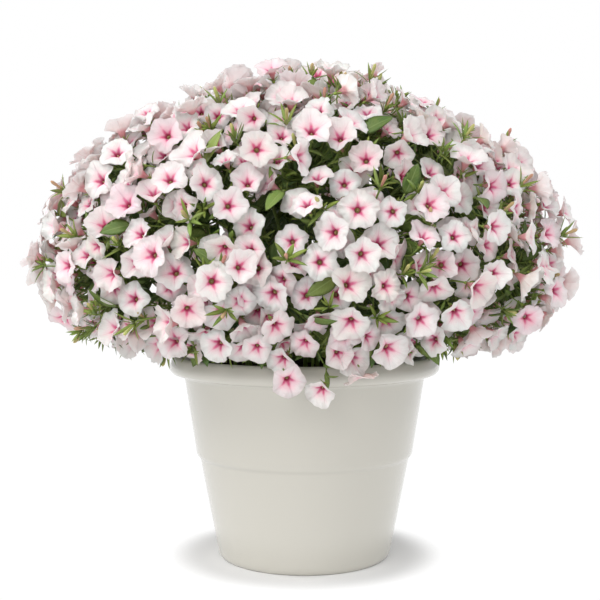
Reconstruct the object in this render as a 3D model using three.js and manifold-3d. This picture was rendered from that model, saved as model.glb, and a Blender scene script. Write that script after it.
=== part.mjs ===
// A potted bedding petunia in full flower: a round dome of pale pink, five-lobed trumpet blooms on leafy
// shoots, in a cream planter with a rolled rim and a stepped belt, filled with potting soil.
//
// Millimetres, +Z up. The origin is the middle of the planter's flat underside, and -Y is the front.
// Each flowering shoot stands in its own hole in the soil. Its green lower part, with side shoots, buds and
// leaves, is one solid, and its flowering top, with every bloom it bears, is another.
import * as THREE from "three";
import { ConvexHull } from "three/addons/math/ConvexHull.js";
import Module from "manifold-3d";

// Planter
const SIDES = 28;
const POT_HEIGHT = 304;
const RIM_RADIUS = 203;
const BASE_RADIUS = 129;
const BELT_HEIGHT = 157;
const BELT_RADIUS = 163;
const NECK_RADIUS = 180; // outside of the body, just under the rim
const NECK_HEIGHT = 266;
const RIM_INSIDE = 190;
const WALL = 5.5;
const FLOOR = 7;
const DRAIN_RADIUS = 8;
const DRAIN_CIRCLE = 80;
const DRAIN_COUNT = 4;

// Soil
const SOIL_EDGE_HEIGHT = 279;
const SOIL_CROWN_HEIGHT = 287;
const SOIL_GAP = 0.6;
const HOLE_DEPTH = 32;
const HOLE_GAP = 0.6;
const CROWN_RADIUS = 118; // the stems leave the soil inside this circle

// The dome of blooms: a superellipsoid about its widest level, with a few swellings and hollows
const MOUND_HEIGHT = 440;
const HALF_WIDTH = 402;
const HALF_DEPTH = 342;
const RISE = 298;
const DROP = 132;
const POWER_ABOVE = 1.85;
const POWER_BELOW = 3;
const SWELLINGS = [
  // facing (x, y, z), width in radians, share of the radius added
  { facing: [-310, 0, 180], width: 0.34, amount: 0.035 },
  { facing: [330, 0, 180], width: 0.34, amount: 0.035 },
  { facing: [-215, 0, 235], width: 0.28, amount: -0.09 },
  { facing: [215, -30, 225], width: 0.3, amount: -0.07 },
  { facing: [30, 0, 305], width: 0.3, amount: 0.02 },
  { facing: [-120, -300, 60], width: 0.35, amount: 0.04 },
  { facing: [150, -290, 90], width: 0.35, amount: 0.03 },
  { facing: [20, 300, 150], width: 0.45, amount: 0.05 },
];

// Shoots, blooms and leaves
const SEED = 7919;
const SHOOTS = 28;
const LOBES = 5;
const LAYERS = [
  // blooms open at the surface first, and smaller, plainer ones between and behind them
  { tries: 600, spacing: 37, radius: [21.5, 25], depth: [0, 20], points: 2 * LOBES },
  { tries: 2600, spacing: 27, radius: [19.5, 23], depth: [6, 46], points: LOBES },
];
const TRIES = 24;
const LOWEST_POLAR = (118 * Math.PI) / 180;
const GOLDEN_ANGLE = Math.PI * (3 - Math.sqrt(5));
const AREA_STEPS = 96;
const STEM_RADIUS = 3.6;
const STEM_STEPS = 3;
const STEM_HEAD = 13; // the last straight length of a stem, where its side shoots leave
const STEM_RISE = 0.45; // how far a stem goes on upright, and then straight out, as shares of its span
const STEM_PULL = 0.35;
const STEM_FOOT_GAP = 2;
const HEART_RADIUS = 16; // the knot of flower stalks in the middle of a shoot's flowering top
const HEART_DEPTH = 96; // below the dome's surface
const HEART_GAP = 0.6;
const STALK_RADIUS = 1.5;
const NECK_RADIUS_OF_BLOOM = 3.2;
const NECK_SINK = 0.64; // the neck of a bloom's tube behind its rim, as a share of the bloom's radius
const LEAST_ANGLE = 0.2; // between two stalks of one shoot
const LEAST_AHEAD = 0.1; // a stalk leaves its knot forwards, at least by this cosine
const LEAST_BEHIND = 0.25; // and reaches its bloom from behind, at least by this one
const STALK_ROOM = 2.4; // kept clear round the thin half of a stalk
const THROAT_SINK = 0.32; // these five are shares of the bloom's radius
const TIP_SINK = 0.1;
const NOTCH_REACH = 0.86;
const NOTCH_RISE = 0.03;
const LIMB_BALLS = [
  // kept clear round a limb: how many, how far out, how far behind the rim
  { count: 5, out: 0.46, sink: 0.22 },
  { count: 10, out: 0.84, sink: 0.06 },
];
const BLOOM_SWAY = 0.8; // how far blooms look aside from the dome's normal
const LOWEST_LOOK = -0.3;
const EVEN_STEPS = [0.7548776662466927, 0.5698402909980532]; // steps of an even spread over a square
const SIDE_SHOOTS = ["tuft", "broad", "tuft", "broad"]; // round a stem's head; most shoots lack the third
const SECOND_TUFT = 5; // every so many shoots have it
const TUFT_LEAVES = 5;
const TUFT_FACES = 6;
const TWIG_RADIUS = 1.8;
const TUFT_HEIGHT = 7; // the length of twig from which a tuft of leaves springs
const BUD_LENGTH = 24;
const BUD_RADIUS = 3.2;
const BUD_WIDEST = 11; // from the bud's foot
const ELBOW_OUT = 21;
const ELBOW_LEAN = 1.8; // how far the bend's ring leans towards the upper length
const LEAF_LENGTH = [26, 38];
const LEAF_WIDTH = [9, 12.5];
const LEAF_THICKNESS = 1.6;
const BROAD_LENGTH = [42, 54];
const BROAD_WIDTH = [20, 26];
const BALL = 4.2;
const CLEARANCE = 0.8;

// Blooms on trailing stalks that hang over the front of the rim: middle, and the way each faces
const TRAILING = [
  { at: [-22, -278, 305], facing: [-0.15, -0.95, 0.1] },
  { at: [20, -252, 288], facing: [0.15, -0.85, -0.5] },
  { at: [74, -256, 293], facing: [0.15, -0.5, -0.85] },
  { at: [-62, -284, 333], facing: [-0.3, -0.9, 0.1] },
  { at: [50, -290, 336], facing: [0.1, -0.95, 0.2] },
  { at: [108, -274, 334], facing: [0.35, -0.85, -0.1] },
  { at: [-112, -268, 338], facing: [-0.4, -0.85, 0.0] },
];

const PETAL = { color: 0xf3dfe3, roughness: 0.62, metalness: 0 };
const FOLIAGE = { color: 0x5f8a32, roughness: 0.6, metalness: 0 };
const GLAZE = { color: 0xd9d5c8, roughness: 0.22, metalness: 0 };
const SOIL = { color: 0x3b2c22, roughness: 0.95, metalness: 0 };

// Small vector helpers on plain arrays
const add = (a, b) => [a[0] + b[0], a[1] + b[1], a[2] + b[2]];
const sub = (a, b) => [a[0] - b[0], a[1] - b[1], a[2] - b[2]];
const scale = (a, s) => [a[0] * s, a[1] * s, a[2] * s];
const dot = (a, b) => a[0] * b[0] + a[1] * b[1] + a[2] * b[2];
const cross = (a, b) => [
  a[1] * b[2] - a[2] * b[1],
  a[2] * b[0] - a[0] * b[2],
  a[0] * b[1] - a[1] * b[0],
];
const length = (a) => Math.sqrt(dot(a, a));
const unit = (a) => scale(a, 1 / length(a));
const mix = (a, b, t) => add(scale(a, 1 - t), scale(b, t));
const onto = (a, axis) => unit(sub(a, scale(axis, dot(a, axis)))); // turned square to an axis
const middle = (points) => scale(points.reduce(add, [0, 0, 0]), 1 / points.length);

// Two directions square to an axis, with axis = across x along
function squareTo(axis) {
  const helper = Math.abs(axis[2]) < 0.9 ? [0, 0, 1] : [1, 0, 0];
  const across = unit(cross(helper, axis));
  return [across, cross(axis, across)];
}

// A seeded stream of numbers from 0 to 1
function makeRandom(seed) {
  let state = seed;
  return () => {
    state = (state * 16807) % 2147483647;
    return state / 2147483647;
  };
}
const between = (random, range) => range[0] + (range[1] - range[0]) * random();

// Where things grow

// Distance from the middle of the dome to its surface, in a direction
function domeRadius(facing) {
  const [x, y, z] = facing;
  const above = z > 0;
  const power = above ? POWER_ABOVE : POWER_BELOW;
  const level = Math.sqrt((x / HALF_WIDTH) ** 2 + (y / HALF_DEPTH) ** 2);
  const upright = Math.abs(z) / (above ? RISE : DROP);
  let radius = (level ** power + upright ** power) ** (-1 / power);
  for (const s of SWELLINGS) {
    const away = Math.acos(Math.min(1, dot(facing, unit(s.facing)))) / s.width;
    radius *= 1 + s.amount * Math.exp(-away * away);
  }
  return radius;
}

const domePoint = (facing, depth) =>
  add([0, 0, MOUND_HEIGHT], scale(facing, domeRadius(facing) - depth));

const directionOf = (polar, azimuth) => [
  Math.sin(polar) * Math.cos(azimuth),
  Math.sin(polar) * Math.sin(azimuth),
  Math.cos(polar),
];

// Outward normal of the dome, from two short steps across its surface
function domeNormal(facing) {
  const step = 0.02;
  const [across, along] = squareTo(facing);
  const here = domePoint(facing, 0);
  const a = sub(domePoint(unit(add(facing, scale(across, step))), 0), here);
  const b = sub(domePoint(unit(add(facing, scale(along, step))), 0), here);
  return unit(cross(a, b));
}

// The share of the dome's area above each polar angle, for spreading things evenly
function areaShares() {
  const shares = [0];
  const meanRadius = (HALF_WIDTH + HALF_DEPTH) / 2;
  const at = (polar) => {
    const above = polar < Math.PI / 2;
    const power = above ? POWER_ABOVE : POWER_BELOW;
    const level = Math.sin(polar) / meanRadius;
    const upright = Math.abs(Math.cos(polar)) / (above ? RISE : DROP);
    const radius = (level ** power + upright ** power) ** (-1 / power);
    return [radius * Math.sin(polar), radius * Math.cos(polar)];
  };
  for (let i = 1; i <= AREA_STEPS; i++) {
    const p = at((LOWEST_POLAR * (i - 1)) / AREA_STEPS);
    const q = at((LOWEST_POLAR * i) / AREA_STEPS);
    const band = (p[0] + q[0]) * Math.hypot(q[0] - p[0], q[1] - p[1]);
    shares.push(shares[i - 1] + band);
  }
  return shares.map((s) => s / shares[AREA_STEPS]);
}
const AREA_SHARES = areaShares();

function polarAt(share) {
  let i = 1;
  while (i < AREA_STEPS && AREA_SHARES[i] < share) i++;
  const t = (share - AREA_SHARES[i - 1]) / (AREA_SHARES[i] - AREA_SHARES[i - 1]);
  return (LOWEST_POLAR * (i - 1 + t)) / AREA_STEPS;
}

// What has grown so far, as balls and rods, so that nothing new grows through it
const grown = [];

const ball = (at, radius) => ({ from: at, to: at, radius });
const rod = (from, to, radius) => ({ from, to, radius });

// The shortest distance between two straight rods' middle lines
function apart(p, q) {
  const u = sub(p.to, p.from);
  const v = sub(q.to, q.from);
  const w = sub(p.from, q.from);
  const [uu, uv, vv, uw, vw] = [dot(u, u), dot(u, v), dot(v, v), dot(u, w), dot(v, w)];
  const clamp = (x) => Math.min(1, Math.max(0, x));
  const skew = uu * vv - uv * uv;
  let s = skew > 1e-9 ? clamp((uv * vw - vv * uw) / skew) : 0;
  const t = vv > 1e-9 ? clamp((uv * s + vw) / vv) : 0;
  s = uu > 1e-9 ? clamp((uv * t - uw) / uu) : 0;
  return length(sub(add(w, scale(u, s)), scale(v, t)));
}

// A growth's bits, with one ball round all of them to tell far things apart at once
function bundle(bits, owner) {
  const ends = bits.flatMap((b) => [b.from, b.to]);
  const at = middle(ends);
  const reach = (b) => Math.max(length(sub(b.from, at)), length(sub(b.to, at))) + b.radius;
  const radius = Math.max(...bits.map(reach));
  return { bits, at, radius, owner };
}
function meets(one, other) {
  if (length(sub(one.at, other.at)) > one.radius + other.radius + CLEARANCE) return false;
  return one.bits.some((a) => other.bits.some((b) => apart(a, b) < a.radius + b.radius + CLEARANCE));
}
const isKin = (one, other) => one.owner && one.owner === other.owner;
const isClear = (bundles) =>
  !bundles.some((one) => grown.some((other) => !isKin(one, other) && meets(one, other)));

// The planter's rim and the soil are in the way too
function clearsPot(bundles) {
  return bundles.every(({ bits }) =>
    bits.every(({ from, to, radius }) =>
      [from, to].every((p) => {
        const out = Math.hypot(p[0], p[1]);
        return out > RIM_RADIUS + radius + 2 || p[2] > POT_HEIGHT + radius + 2;
      }),
    ),
  );
}
function grow(bundles) {
  if (!isClear(bundles) || !clearsPot(bundles)) return false;
  grown.push(...bundles);
  return true;
}

// The balls of a bloom's limb, and the rods of its stalk. Stalks of one shoot share an owner
function bloomBundles(bloom) {
  const { at, facing, radius, shoot } = bloom;
  const [across, along] = squareTo(facing);
  const limb = [ball(add(at, scale(facing, -THROAT_SINK * radius)), BALL)];
  for (const { count, out, sink } of LIMB_BALLS) {
    for (let i = 0; i < count; i++) {
      const turn = (2 * Math.PI * i) / count;
      const way = add(scale(across, Math.cos(turn)), scale(along, Math.sin(turn)));
      limb.push(ball(add(add(at, scale(facing, -sink * radius)), scale(way, out * radius)), BALL));
    }
  }
  const neck = add(at, scale(facing, -NECK_SINK * radius));
  const root = add(shoot.heart, scale(unit(sub(neck, shoot.heart)), HEART_RADIUS));
  const half = mix(root, neck, 0.5);
  return [
    bundle(limb),
    bundle([rod(root, half, STALK_ROOM), rod(half, neck, NECK_RADIUS_OF_BLOOM)], shoot),
  ];
}

function nearestShoot(shoots, at) {
  const facing = unit(sub(at, [0, 0, MOUND_HEIGHT]));
  let best = shoots[0];
  for (const s of shoots) if (dot(s.facing, facing) > dot(best.facing, facing)) best = s;
  return best;
}

// Points of a shoot's green stem, from the foot of its hole to just below its flowering top
function stemPath(shoot) {
  const [x, y] = shoot.hole;
  const surface = soilHeight(Math.hypot(x, y));
  const end = sub(shoot.heart, scale(shoot.facing, HEART_RADIUS + HEART_GAP));
  const neck = sub(end, scale(shoot.facing, STEM_HEAD));
  const start = [x, y, surface + STEM_RADIUS];
  const span = length(sub(neck, start));
  const lift = add(start, [0, 0, STEM_RISE * span]);
  const pull = sub(neck, scale(shoot.facing, STEM_PULL * span));
  const path = [[x, y, surface - HOLE_DEPTH + STEM_FOOT_GAP]];
  for (let i = 0; i <= STEM_STEPS; i++) {
    const t = i / STEM_STEPS;
    const a = mix(mix(start, lift, t), mix(lift, pull, t), t);
    const b = mix(mix(lift, pull, t), mix(pull, neck, t), t);
    path.push(mix(a, b, t));
  }
  path.push(end);
  return path;
}

// Four directions square to a stem's head, in which its side shoots may leave
function headSides(shoot) {
  const [across, along] = squareTo(shoot.facing);
  return [0, 1, 2, 3].map((i) => {
    const turn = (Math.PI * (2 * i + 1)) / 4;
    return { turn, out: add(scale(across, Math.cos(turn)), scale(along, Math.sin(turn))) };
  });
}

function planShoots() {
  const shoots = [];
  for (let k = 0; k < SHOOTS; k++) {
    const facing = directionOf(polarAt((k + 0.5) / SHOOTS), k * GOLDEN_ANGLE + 0.5);
    const out = CROWN_RADIUS * Math.sqrt((k + 0.5) / SHOOTS);
    const turn = Math.atan2(facing[1], facing[0]);
    const shoot = {
      facing,
      heart: domePoint(facing, HEART_DEPTH),
      hole: [out * Math.cos(turn), out * Math.sin(turn)],
      blooms: [],
      tufts: [],
      broad: [],
    };
    shoot.sides = headSides(shoot);
    const path = stemPath(shoot);
    const rods = path.slice(1).map((p, i) => rod(path[i], p, STEM_RADIUS));
    grown.push(bundle(rods, shoot), bundle([ball(shoot.heart, HEART_RADIUS)], shoot));
    shoots.push(shoot);
  }
  return shoots;
}

// Where a side shoot turns up round the flowering top's heart, and a place on the dome over that side
function sideRoute(shoot, side, reach, depth, swing) {
  const elbow = add(sub(shoot.heart, scale(shoot.facing, 0.7 * HEART_RADIUS)), scale(side.out, ELBOW_OUT));
  const turn = side.turn + swing;
  const [across, along] = squareTo(shoot.facing);
  const aside = add(scale(across, Math.cos(turn)), scale(along, Math.sin(turn)));
  const facing = unit(add(shoot.facing, scale(aside, reach)));
  const leaves = sub(shoot.heart, scale(shoot.facing, HEART_RADIUS + 0.5 * STEM_HEAD));
  const start = add(leaves, scale(side.out, STEM_RADIUS + TWIG_RADIUS + 2 * CLEARANCE));
  return { start, elbow, facing, end: domePoint(facing, depth) };
}

// A corner direction carried round a bend from one length of twig to the next
const carried = (corner, from, to) => onto(onto(corner, unit(add(from, to))), to);

// A leafy side shoot that ends in a bud among the blooms
function planTuft(shoot, side, random) {
  for (let attempt = 0; attempt < TRIES; attempt++) {
    const reach = 0.1 + 0.12 * random();
    const swing = 1.1 * (random() - 0.5);
    const { start, elbow, facing, end } = sideRoute(shoot, side, reach, 26 - 12 * random(), swing);
    const lean = unit(add(domeNormal(facing), [0.3 * (random() - 0.5), 0.3 * (random() - 0.5), 0.2]));
    const climb = unit(sub(end, elbow));
    const hinge = unit(cross(side.out, climb));
    const x = carried(hinge, climb, lean);
    const tuft = { side, elbow, base: end, lean, hinge, corner: x, leaves: [] };
    const head = add(end, scale(lean, TUFT_HEIGHT));
    const leafRods = [];
    const y = cross(lean, x);
    for (let i = 0; i < TUFT_LEAVES; i++) {
      const turn = (2 * Math.PI * i) / TUFT_FACES;
      const level = add(scale(x, Math.cos(turn)), scale(y, Math.sin(turn)));
      const rise = i % 2 ? 0.25 + 0.3 * random() : 0.8 + 0.3 * random();
      const out = unit(add(level, scale(lean, rise)));
      const size = between(random, LEAF_LENGTH);
      const width = between(random, LEAF_WIDTH);
      tuft.leaves.push({ out, size, width });
      const root = mix(end, head, 0.5);
      const wide = add(root, scale(out, 0.5 * size));
      leafRods.push(rod(root, wide, 0.5 * width), rod(wide, add(root, scale(out, size)), 0.35 * width));
    }
    leafRods.push(rod(head, add(head, scale(lean, BUD_LENGTH)), BUD_RADIUS));
    const twig = bundle([rod(start, elbow, TWIG_RADIUS), rod(elbow, end, TWIG_RADIUS)]);
    if (!grow([bundle(leafRods), twig])) continue;
    shoot.tufts.push(tuft);
    return;
  }
}

// A broad leaf among the blooms, on its own stalk
function planBroadLeaf(shoot, side, random) {
  for (let attempt = 0; attempt < TRIES; attempt++) {
    const reach = 0.14 + 0.16 * random();
    const swing = 1.1 * (random() - 0.5);
    const { start, elbow, facing, end } = sideRoute(shoot, side, reach, 34 + 10 * random(), swing);
    const normal = domeNormal(facing);
    const aside = unit(sub(sub(end, shoot.heart), scale(normal, dot(sub(end, shoot.heart), normal))));
    const out = unit(add(aside, scale(normal, 0.5 + 0.5 * random())));
    const climb = unit(sub(end, elbow));
    const hinge = unit(cross(side.out, climb));
    // the blade lies as flat as the three corners of its stalk let it
    const x = carried(hinge, climb, out);
    const y = cross(out, x);
    const rolls = [0, 1, 2, 3, 4, 5].map((i) =>
      add(scale(x, Math.cos((Math.PI * i) / 3)), scale(y, Math.sin((Math.PI * i) / 3))),
    );
    const up = rolls.reduce((best, roll) => (dot(roll, normal) > dot(best, normal) ? roll : best));
    const size = between(random, BROAD_LENGTH);
    const width = between(random, BROAD_WIDTH);
    const leaf = { side, elbow, base: end, hinge, out, up, size, width };
    const across = cross(out, up);
    const rods = [-0.36, -0.18, 0, 0.18, 0.36].map((share) => {
      const near = add(end, scale(out, (0.1 + 0.8 * Math.abs(share)) * leaf.size));
      const far = add(end, scale(out, (1 - 1.3 * Math.abs(share)) * leaf.size));
      return rod(
        add(near, scale(across, share * leaf.width)),
        add(far, scale(across, share * leaf.width)),
        3.4,
      );
    });
    const twig = bundle([rod(start, elbow, TWIG_RADIUS), rod(elbow, end, TWIG_RADIUS)]);
    if (!grow([bundle(rods), twig])) continue;
    shoot.broad.push(leaf);
    return;
  }
}

function placeBloom(shoots, bloom) {
  const shoot = nearestShoot(shoots, bloom.at);
  bloom.shoot = shoot;
  bloom.way = unit(sub(add(bloom.at, scale(bloom.facing, -NECK_SINK * bloom.radius)), shoot.heart));
  if (shoot.blooms.some((other) => dot(other.way, bloom.way) > Math.cos(LEAST_ANGLE))) return false;
  if (dot(bloom.way, shoot.facing) < LEAST_AHEAD) return false;
  if (dot(bloom.way, bloom.facing) < LEAST_BEHIND) return false;
  if (!grow(bloomBundles(bloom))) return false;
  shoot.blooms.push(bloom);
  return true;
}

// Blooms are tried all over the dome, evenly, until hardly another fits
function planBlooms(shoots, random, middles, layer) {
  for (let i = 0; i < layer.tries; i++) {
    const polar = polarAt(0.001 + 0.998 * ((i * EVEN_STEPS[0]) % 1));
    const facing = directionOf(polar, 2 * Math.PI * ((i * EVEN_STEPS[1]) % 1));
    const at = domePoint(facing, between(random, layer.depth));
    const sway = [0, 1, 2].map(() => BLOOM_SWAY * (random() - 0.5));
    const looks = add(domeNormal(facing), add(sway, [0, 0, 0.1]));
    looks[2] = Math.max(looks[2], LOWEST_LOOK);
    const radius = between(random, layer.radius);
    if (middles.some((other) => length(sub(other, at)) < layer.spacing)) continue;
    const bloom = { at, facing: unit(looks), radius, points: layer.points };
    if (placeBloom(shoots, bloom)) middles.push(at);
  }
}

function planPlant() {
  const random = makeRandom(SEED);
  const shoots = planShoots();
  for (const { at, facing } of TRAILING)
    placeBloom(shoots, { at, facing: unit(facing), radius: 23, points: 2 * LOBES });
  shoots.forEach((shoot, k) => {
    const first = Math.floor(4 * random());
    SIDE_SHOOTS.forEach((kind, i) => {
      const side = shoot.sides[(first + i) % 4];
      if (i === 2 && k % SECOND_TUFT !== 0) return;
      if (kind === "tuft") planTuft(shoot, side, random);
      else planBroadLeaf(shoot, side, random);
    });
  });
  const middles = TRAILING.map((t) => t.at);
  for (const layer of LAYERS) planBlooms(shoots, random, middles, layer);
  return shoots;
}

// The direction of a path at each of its points, and a corner direction square to it that is carried back
// from the path's end
function frames(path, end) {
  const last = path.length - 1;
  const aheads = path.map((p, i) => unit(sub(path[Math.min(i + 1, last)], path[Math.max(i - 1, 0)])));
  const acrosses = [];
  let across = end;
  for (let i = last; i >= 0; i--) {
    across = onto(across, aheads[i]);
    acrosses.unshift(across);
  }
  return { aheads, acrosses };
}

// A closed mesh that grows: a triangle is taken out and a ring or a tip is raised on its three edges
class Growth {
  constructor() {
    this.points = [];
    this.faces = [];
  }
  point(p) {
    this.points.push(p);
    return this.points.length - 1;
  }
  face(a, b, c) {
    this.faces.push([a, b, c]);
    return this.faces.length - 1;
  }
  corners(face) {
    return face.map((i) => this.points[i]);
  }
  centre(face) {
    return middle(this.corners(face));
  }
  normal(face) {
    const [a, b, c] = this.corners(face);
    return unit(cross(sub(b, a), sub(c, a)));
  }
  // Faces between two rings of points that turn the same way, for any two counts. from is the lower ring
  bridge(from, fromAngles, to, toAngles) {
    let i = 0;
    let j = 0;
    while (i < from.length || j < to.length) {
      const nextFrom = i < from.length ? fromAngles(i + 1) : Infinity;
      const nextTo = j < to.length ? toAngles(j + 1) : Infinity;
      const a = from[i % from.length];
      const b = to[j % to.length];
      if (nextTo <= nextFrom) {
        this.face(a, to[(j + 1) % to.length], b);
        j++;
      } else {
        this.face(a, from[(i + 1) % from.length], b);
        i++;
      }
    }
  }
  // A tube of rings along a path, their first corners carried back from the end's. Returns each step's faces
  tube(path, radius, sides, end) {
    const { aheads, acrosses } = frames(path, end);
    let last = null;
    const steps = [];
    path.forEach((p, i) => {
      const across = acrosses[i];
      const along = cross(aheads[i], across);
      const ring = [];
      for (let s = 0; s < sides; s++) {
        const turn = (2 * Math.PI * s) / sides;
        const out = add(scale(across, Math.cos(turn)), scale(along, Math.sin(turn)));
        ring.push(this.point(add(p, scale(out, radius))));
      }
      if (last) {
        const made = [];
        for (let s = 0; s < sides; s++) {
          const t = (s + 1) % sides;
          made.push(this.face(last[s], last[t], ring[t]), this.face(last[s], ring[t], ring[s]));
        }
        steps.push(made);
      } else for (let s = 1; s + 1 < sides; s++) this.face(ring[0], ring[s + 1], ring[s]);
      last = ring;
    });
    for (let s = 1; s + 1 < sides; s++) this.face(last[0], last[s], last[s + 1]);
    return steps;
  }
  // Two faces between four points, split along the shorter diagonal
  quad(a, b, c, d) {
    const span = (i, j) => length(sub(this.points[i], this.points[j]));
    if (span(a, c) <= span(b, d)) {
      this.face(a, b, c);
      this.face(a, c, d);
    } else {
      this.face(a, b, d);
      this.face(b, c, d);
    }
  }
  // Raises a ring of three points on a face, turned to follow the face's own corners
  raise(index, ring) {
    const host = this.faces[index];
    const corners = this.corners(host);
    const from = middle(corners);
    const to = middle(ring);
    const ahead = unit(sub(to, from));
    const fit = (t) =>
      corners.reduce((sum, p, i) => {
        const there = onto(sub(ring[(i + t) % 3], to), ahead);
        return sum + dot(there, onto(sub(p, from), ahead));
      }, 0);
    const turn = [0, 1, 2].reduce((best, t) => (fit(t) > fit(best) ? t : best), 0);
    const made = [0, 1, 2].map((i) => this.point(ring[(i + turn) % 3]));
    for (let i = 0; i < 3; i++) {
      const j = (i + 1) % 3;
      this.quad(host[i], host[j], made[j], made[i]);
    }
    this.faces[index] = made; // the face moves up to close the new ring
    return made;
  }
  // Raises a ring on a face with each corner over the middle of an edge, and returns the six faces
  // between, which look six ways
  twist(index, ring) {
    const host = this.faces[index];
    const corners = this.corners(host);
    const from = middle(corners);
    const to = middle(ring);
    const over = mix(corners[0], corners[1], 0.5);
    const fit = (t) => dot(sub(ring[t], to), sub(over, from));
    const turn = [0, 1, 2].reduce((best, t) => (fit(t) > fit(best) ? t : best), 0);
    const made = [0, 1, 2].map((i) => this.point(ring[(i + turn) % 3]));
    const sides = [];
    for (let i = 0; i < 3; i++) {
      const j = (i + 1) % 3;
      sides.push(this.face(host[i], host[j], made[i]), this.face(host[j], made[j], made[i]));
    }
    this.faces[index] = made;
    return sides;
  }
  // Closes a face in a tip beyond it
  tip(index, p) {
    const [a, b, c] = this.faces[index];
    const top = this.point(p);
    this.faces[index] = [a, b, top];
    this.face(b, c, top);
    this.face(c, a, top);
  }
  geometry() {
    const geometry = new THREE.BufferGeometry();
    geometry.setAttribute("position", new THREE.Float32BufferAttribute(this.points.flat(), 3));
    geometry.setIndex(this.faces.flat());
    return geometry;
  }
}

// Three points round a middle, square to an axis, the first of them nearest to a direction
function triangleRing(at, axis, radius, towards) {
  const [across, along] = squareTo(axis);
  const start = Math.atan2(dot(towards, along), dot(towards, across));
  return [0, 1, 2].map((i) => {
    const turn = start + (2 * Math.PI * i) / 3;
    return add(at, add(scale(across, radius * Math.cos(turn)), scale(along, radius * Math.sin(turn))));
  });
}

// A trumpet bloom on a face of the flowering top: stalk and tube, five lobes and the throat. A plain one
// has no notches between its lobes
function growBloom(growth, host, bloom) {
  const { at, facing, radius, points } = bloom;
  const corner = sub(growth.points[growth.faces[host][0]], growth.centre(growth.faces[host]));
  const neckAt = add(at, scale(facing, -NECK_SINK * radius));
  const axis = unit(add(bloom.way, facing));
  const neck = growth.raise(host, triangleRing(neckAt, axis, NECK_RADIUS_OF_BLOOM, corner));
  const [across, along] = squareTo(facing);
  const first = sub(growth.points[neck[0]], neckAt);
  const start = Math.atan2(dot(first, along), dot(first, across));
  const rim = [];
  for (let i = 0; i < points; i++) {
    const turn = start + (2 * Math.PI * i) / points;
    const isTip = points === LOBES || i % 2 === 0;
    const reach = radius * (isTip ? 1 : NOTCH_REACH);
    const level = radius * (isTip ? -TIP_SINK : NOTCH_RISE);
    const out = add(scale(across, Math.cos(turn)), scale(along, Math.sin(turn)));
    rim.push(growth.point(add(at, add(scale(out, reach), scale(facing, level)))));
  }
  growth.faces[host] = null;
  growth.bridge(neck, (i) => i / 3, rim, (j) => j / points);
  const throat = growth.point(add(at, scale(facing, -THROAT_SINK * radius)));
  rim.forEach((p, i) => growth.face(p, rim[(i + 1) % points], throat));
}

// A leaf raised on a face: a flat three-cornered section, widest before the middle, and a tip. The third
// corner is above or below the blade, as the face has it
function growLeaf(growth, host, out, up, size, width) {
  const corners = growth.corners(growth.faces[host]);
  const from = middle(corners);
  const side = unit(cross(out, up));
  const top = cross(side, out);
  const heights = corners.map((p) => dot(sub(p, from), top));
  const third = Math.max(...heights) > -Math.min(...heights) ? LEAF_THICKNESS : -LEAF_THICKNESS;
  const wide = add(from, add(scale(out, 0.45 * size), scale(top, 0.05 * size)));
  const ring = [
    add(wide, scale(side, width / 2)),
    add(wide, scale(side, -width / 2)),
    add(wide, scale(top, third)),
  ];
  if (dot(cross(sub(ring[1], ring[0]), sub(ring[2], ring[0])), out) < 0) ring.reverse();
  growth.raise(host, ring);
  growth.tip(host, add(from, scale(out, size)));
}

// The flowering top of a shoot: the knot where its stalks meet, with a small face for each, and the blooms
function flowersOf(shoot) {
  const growth = new Growth();
  const { facing, heart } = shoot;
  const [across, along] = squareTo(facing);
  const points = [];
  for (const { way } of shoot.blooms)
    points.push(...triangleRing(scale(way, HEART_RADIUS), way, STALK_RADIUS, facing));
  points.push(scale(facing, -HEART_RADIUS));
  for (let i = 0; i < 4; i++) {
    const turn = (Math.PI * i) / 2;
    const out = add(scale(across, Math.cos(turn)), scale(along, Math.sin(turn)));
    points.push(scale(unit(sub(out, facing)), HEART_RADIUS));
  }
  points.forEach((p) => growth.point(add(heart, p)));
  const corners = points.map((p, i) => Object.assign(new THREE.Vector3(...p), { i }));
  const hosts = new Map();
  for (const face of new ConvexHull().setFromPoints(corners).faces) {
    const edge = face.edge;
    const [a, b, c] = [edge.tail().point.i, edge.head().point.i, edge.next.head().point.i];
    const made = growth.face(a, b, c);
    const bloom = Math.floor(Math.min(a, b, c) / 3);
    if (Math.floor(Math.max(a, b, c) / 3) === bloom) hosts.set(bloom, made);
  }
  shoot.blooms.forEach((bloom, i) => growBloom(growth, hosts.get(i), bloom));
  growth.faces = growth.faces.filter((f) => f);
  return growth.geometry();
}

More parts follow.
